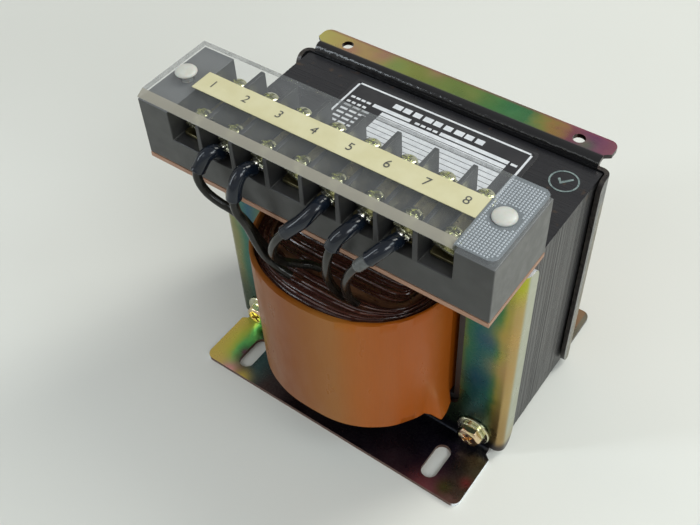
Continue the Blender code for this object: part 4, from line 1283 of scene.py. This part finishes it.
def make_rating_plate(mats):
    """A black label with a white frame, blank fields, a ruled blank table and bars for words."""
    low, high = corner("rating_plate", 0), corner("rating_plate", 1)
    bm = bmesh.new()
    prism(bm, rounded_rectangle(low.x, low.y, high.x, high.y, 1.0), low.z - 0.25, high.z - 0.06, mat=0)
    z0, z1 = high.z - 0.07, high.z - 0.03

    def bar(x0, y0, x1, y1):
        prism(bm, [(x0, y0), (x1, y0), (x1, y1), (x0, y1)], z0, z1, mat=1)

    left, right, near, far, line = -31.4, 35.6, low.y + 1.2, 20.2, 0.75
    bar(left, far - line, right, far)
    bar(left, near, right, near + line)
    bar(left, near, left + line, far)
    bar(right - line, near, right, far)
    for k in range(9):
        start = -14.6 + 3.95 * k
        bar(start, 14.9, start + (2.9 if k % 3 else 3.3), 17.2)
    bar(-20.6, 11.7, -5.8, 13.3)
    bar(5.6, 11.7, 30.8, 13.3)
    for k in range(4):
        bar(-29.6 + 2.1 * k, 12.0, -28.0 + 2.1 * k, 13.0)
        bar(-29.6 + 2.1 * k, 9.4, -28.2 + 2.1 * k, 10.4)
        bar(-4.0 + 2.3 * k, 12.0, -2.3 + 2.3 * k, 13.0)
    bar(31.6, 12.0, 33.8, 13.0)
    bar(-16.0, 9.4, 30.8, 11.1)
    row = 2.15
    count = int((9.1 - (low.y + 3.0)) / row)
    for k in range(count):
        top = 9.1 - k * row
        bar(-16.0, top - row + 0.28, 30.8, top)
        for j in range(3):
            bar(-29.4 + 3.6 * j, top - 1.5, -26.6 + 3.6 * j, top - 0.6)
    piece("rating_label", bm, [mats["label"], mats["print"]],
          replaces=("rating_plate",), angle=30)


MARK_AT = (48.7, 15.2)


def make_inspection_mark(mat):
    """A printed ring with a tick in it, on the core's top."""
    x, y = MARK_AT
    z = CORE_HIGH.z + 0.07
    bm = bmesh.new()
    loops = []
    for r, level in ((4.25, z), (4.8, z), (4.8, z + 0.05), (4.25, z + 0.05)):
        loops.append([(a, b, level) for a, b in circle(x, y, r, 64)])
    skin(bm, loops, closed=True)
    tick = [(-2.3, 0.2), (-1.7, 0.8), (-0.7, -0.5), (1.9, 2.4), (2.5, 1.9), (-0.6, -1.7)]
    prism(bm, [(x + a, y + b) for a, b in tick], z, z + 0.05)
    piece("inspection_mark", bm, mat, angle=30)


def make_block_screws(mats):
    """The two screws under the flange; their heads point down and have a cross recess."""
    for _, name in SIDES:
        node = f"block_screw_{name}"
        at = middle(node)
        low, high = corner(node, 0).z, corner(node, 1).z
        bm = bmesh.new()
        turned(bm, at, [(1.6, low + 0.2), (2.6, low), (3.0, low + 0.35), (3.1, low + 1.1),
                        (3.1, low + 2.05), (1.7, low + 2.1), (1.7, high - 0.5), (1.2, high)], 32)
        obj = piece(f"flange_{node}", bm, mats["steel"], replaces=(node,),
                    angle=30)
        cut_recess(obj, Vector((at.x, at.y, 0)), 2.0, 0.45, (low - 1, low + 0.9))


# ---------------------------------------------------------------- scene

def make_floor():
    """A pale table top, far larger than the view."""
    bm = bmesh.new()
    bmesh.ops.create_grid(bm, x_segments=8, y_segments=8, size=4000)
    bmesh.ops.scale(bm, vec=(MM, MM, MM), verts=bm.verts)
    mesh = bpy.data.meshes.new("table_top")
    bm.to_mesh(mesh)
    bm.free()
    sh = Shader("pale_table", (0.70, 0.69, 0.64), 0.62)
    sh.colour(sh.mix(sh.cloud(240.0, 3.0, 0.3, 0.7), (0.700, 0.705, 0.665), (0.665, 0.670, 0.628)))
    sh.roughness(sh.noise(60.0, 3.0), 0.5, 0.7)
    sh.bump(sh.noise(1.2, 3.0), 0.02)
    mesh.materials.append(sh.mat)
    link("table_top", mesh)


# Name, place, size, power and colour; each points at the middle of the object's lower part.
LIGHTS = (
    ("window", (0.418, 0.724, 0.996), (0.32, 0.95), 8.2, (0.99, 1.0, 0.94)),
    ("right_light", (0.95, -0.40, 0.80), (0.5, 0.5), 4.8, (0.93, 0.98, 1.0)),
    ("side_light", (0.83, 0.10, 1.0), (0.4, 0.4), 2.4, (0.84, 0.95, 1.0)),
    ("fill", (-0.15, -1.0, 0.78), (0.5, 0.3), 0.6, (0.94, 0.99, 1.0)),
    ("left_strip", (-0.62, -0.60, 0.50), (0.12, 0.8), 2.4, (0.84, 0.93, 1.0)),
)
AIM = Vector((0, 0, 0.03))


def make_light():
    """An even pale room, a tall window behind, two lights at the right and two weak ones in front."""
    world = bpy.data.worlds.new("studio")
    bpy.context.scene.world = world
    world.use_nodes = True
    tree = world.node_tree
    back = tree.nodes["Background"]
    coord = tree.nodes.new("ShaderNodeTexCoord")
    split = tree.nodes.new("ShaderNodeSeparateXYZ")
    ramp = tree.nodes.new("ShaderNodeValToRGB")
    tree.links.new(coord.outputs["Generated"], split.inputs[0])
    tree.links.new(split.outputs[2], ramp.inputs[0])
    tree.links.new(ramp.outputs[0], back.inputs[0])
    low, high = ramp.color_ramp.elements
    low.position, high.position = 0.0, 0.75
    low.color = (0.46, 0.46, 0.44, 1)
    high.color = (0.40, 0.40, 0.395, 1)
    back.inputs[1].default_value = 1.0
    for name, at, size, power, colour in LIGHTS:
        light = bpy.data.lights.new(name, "AREA")
        light.shape = "RECTANGLE"
        light.size, light.size_y = size
        light.energy = power
        light.color = colour
        obj = link(name, light)
        obj.location = at
        obj.rotation_euler = (AIM - Vector(at)).to_track_quat("-Z", "Y").to_euler()


def make_camera():
    """The photograph's view: from the right front, well above the object."""
    camera = bpy.data.cameras.new("camera")
    camera.lens = 49.16
    camera.sensor_width = 36.0
    camera.clip_start = 0.01
    obj = link("camera", camera)
    right = Vector((0.8108, 0.5842, -0.0365)).normalized()
    ahead = Vector((-0.4082, 0.5198, -0.7504)).normalized()
    up = right.cross(ahead).normalized()
    turn = Matrix((right, up, -ahead)).transposed().to_4x4()
    obj.matrix_world = Matrix.Translation((0.12555 + CORE_X * MM, -0.19091, 0.30236)) @ turn
    bpy.context.scene.camera = obj


def main():
    make_camera()
    mats = make_materials()
    make_leads(mats)
    make_frame("folded_front_frame", "front_frame", -1, -corner("front_frame", 0).y,
               [mats["front"], mats["front_edge"]])
    make_frame("folded_rear_frame", "rear_frame", 1, corner("rear_frame", 1).y,
               [mats["rear"], mats["rear_edge"]])
    make_core(mats["core"])
    make_coil(mats)
    make_clamps(mats)
    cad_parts["terminal_board"].data.materials[0] = mats["board"]
    make_block(mats["moulding"])
    make_bars(mats["brass"])
    make_terminal_screws(mats)
    make_lugs(mats["tin"])
    make_cover(mats)
    make_grip([mats["grip"], mats["grip_dots"]])
    make_fasteners(mats["nylon"])
    make_marking_strip(mats)
    make_rating_plate(mats)
    make_inspection_mark(mats["stamp"])
    make_block_screws(mats)
    make_floor()
    make_light()
    bpy.context.scene.view_settings.view_transform = "Standard"


main()
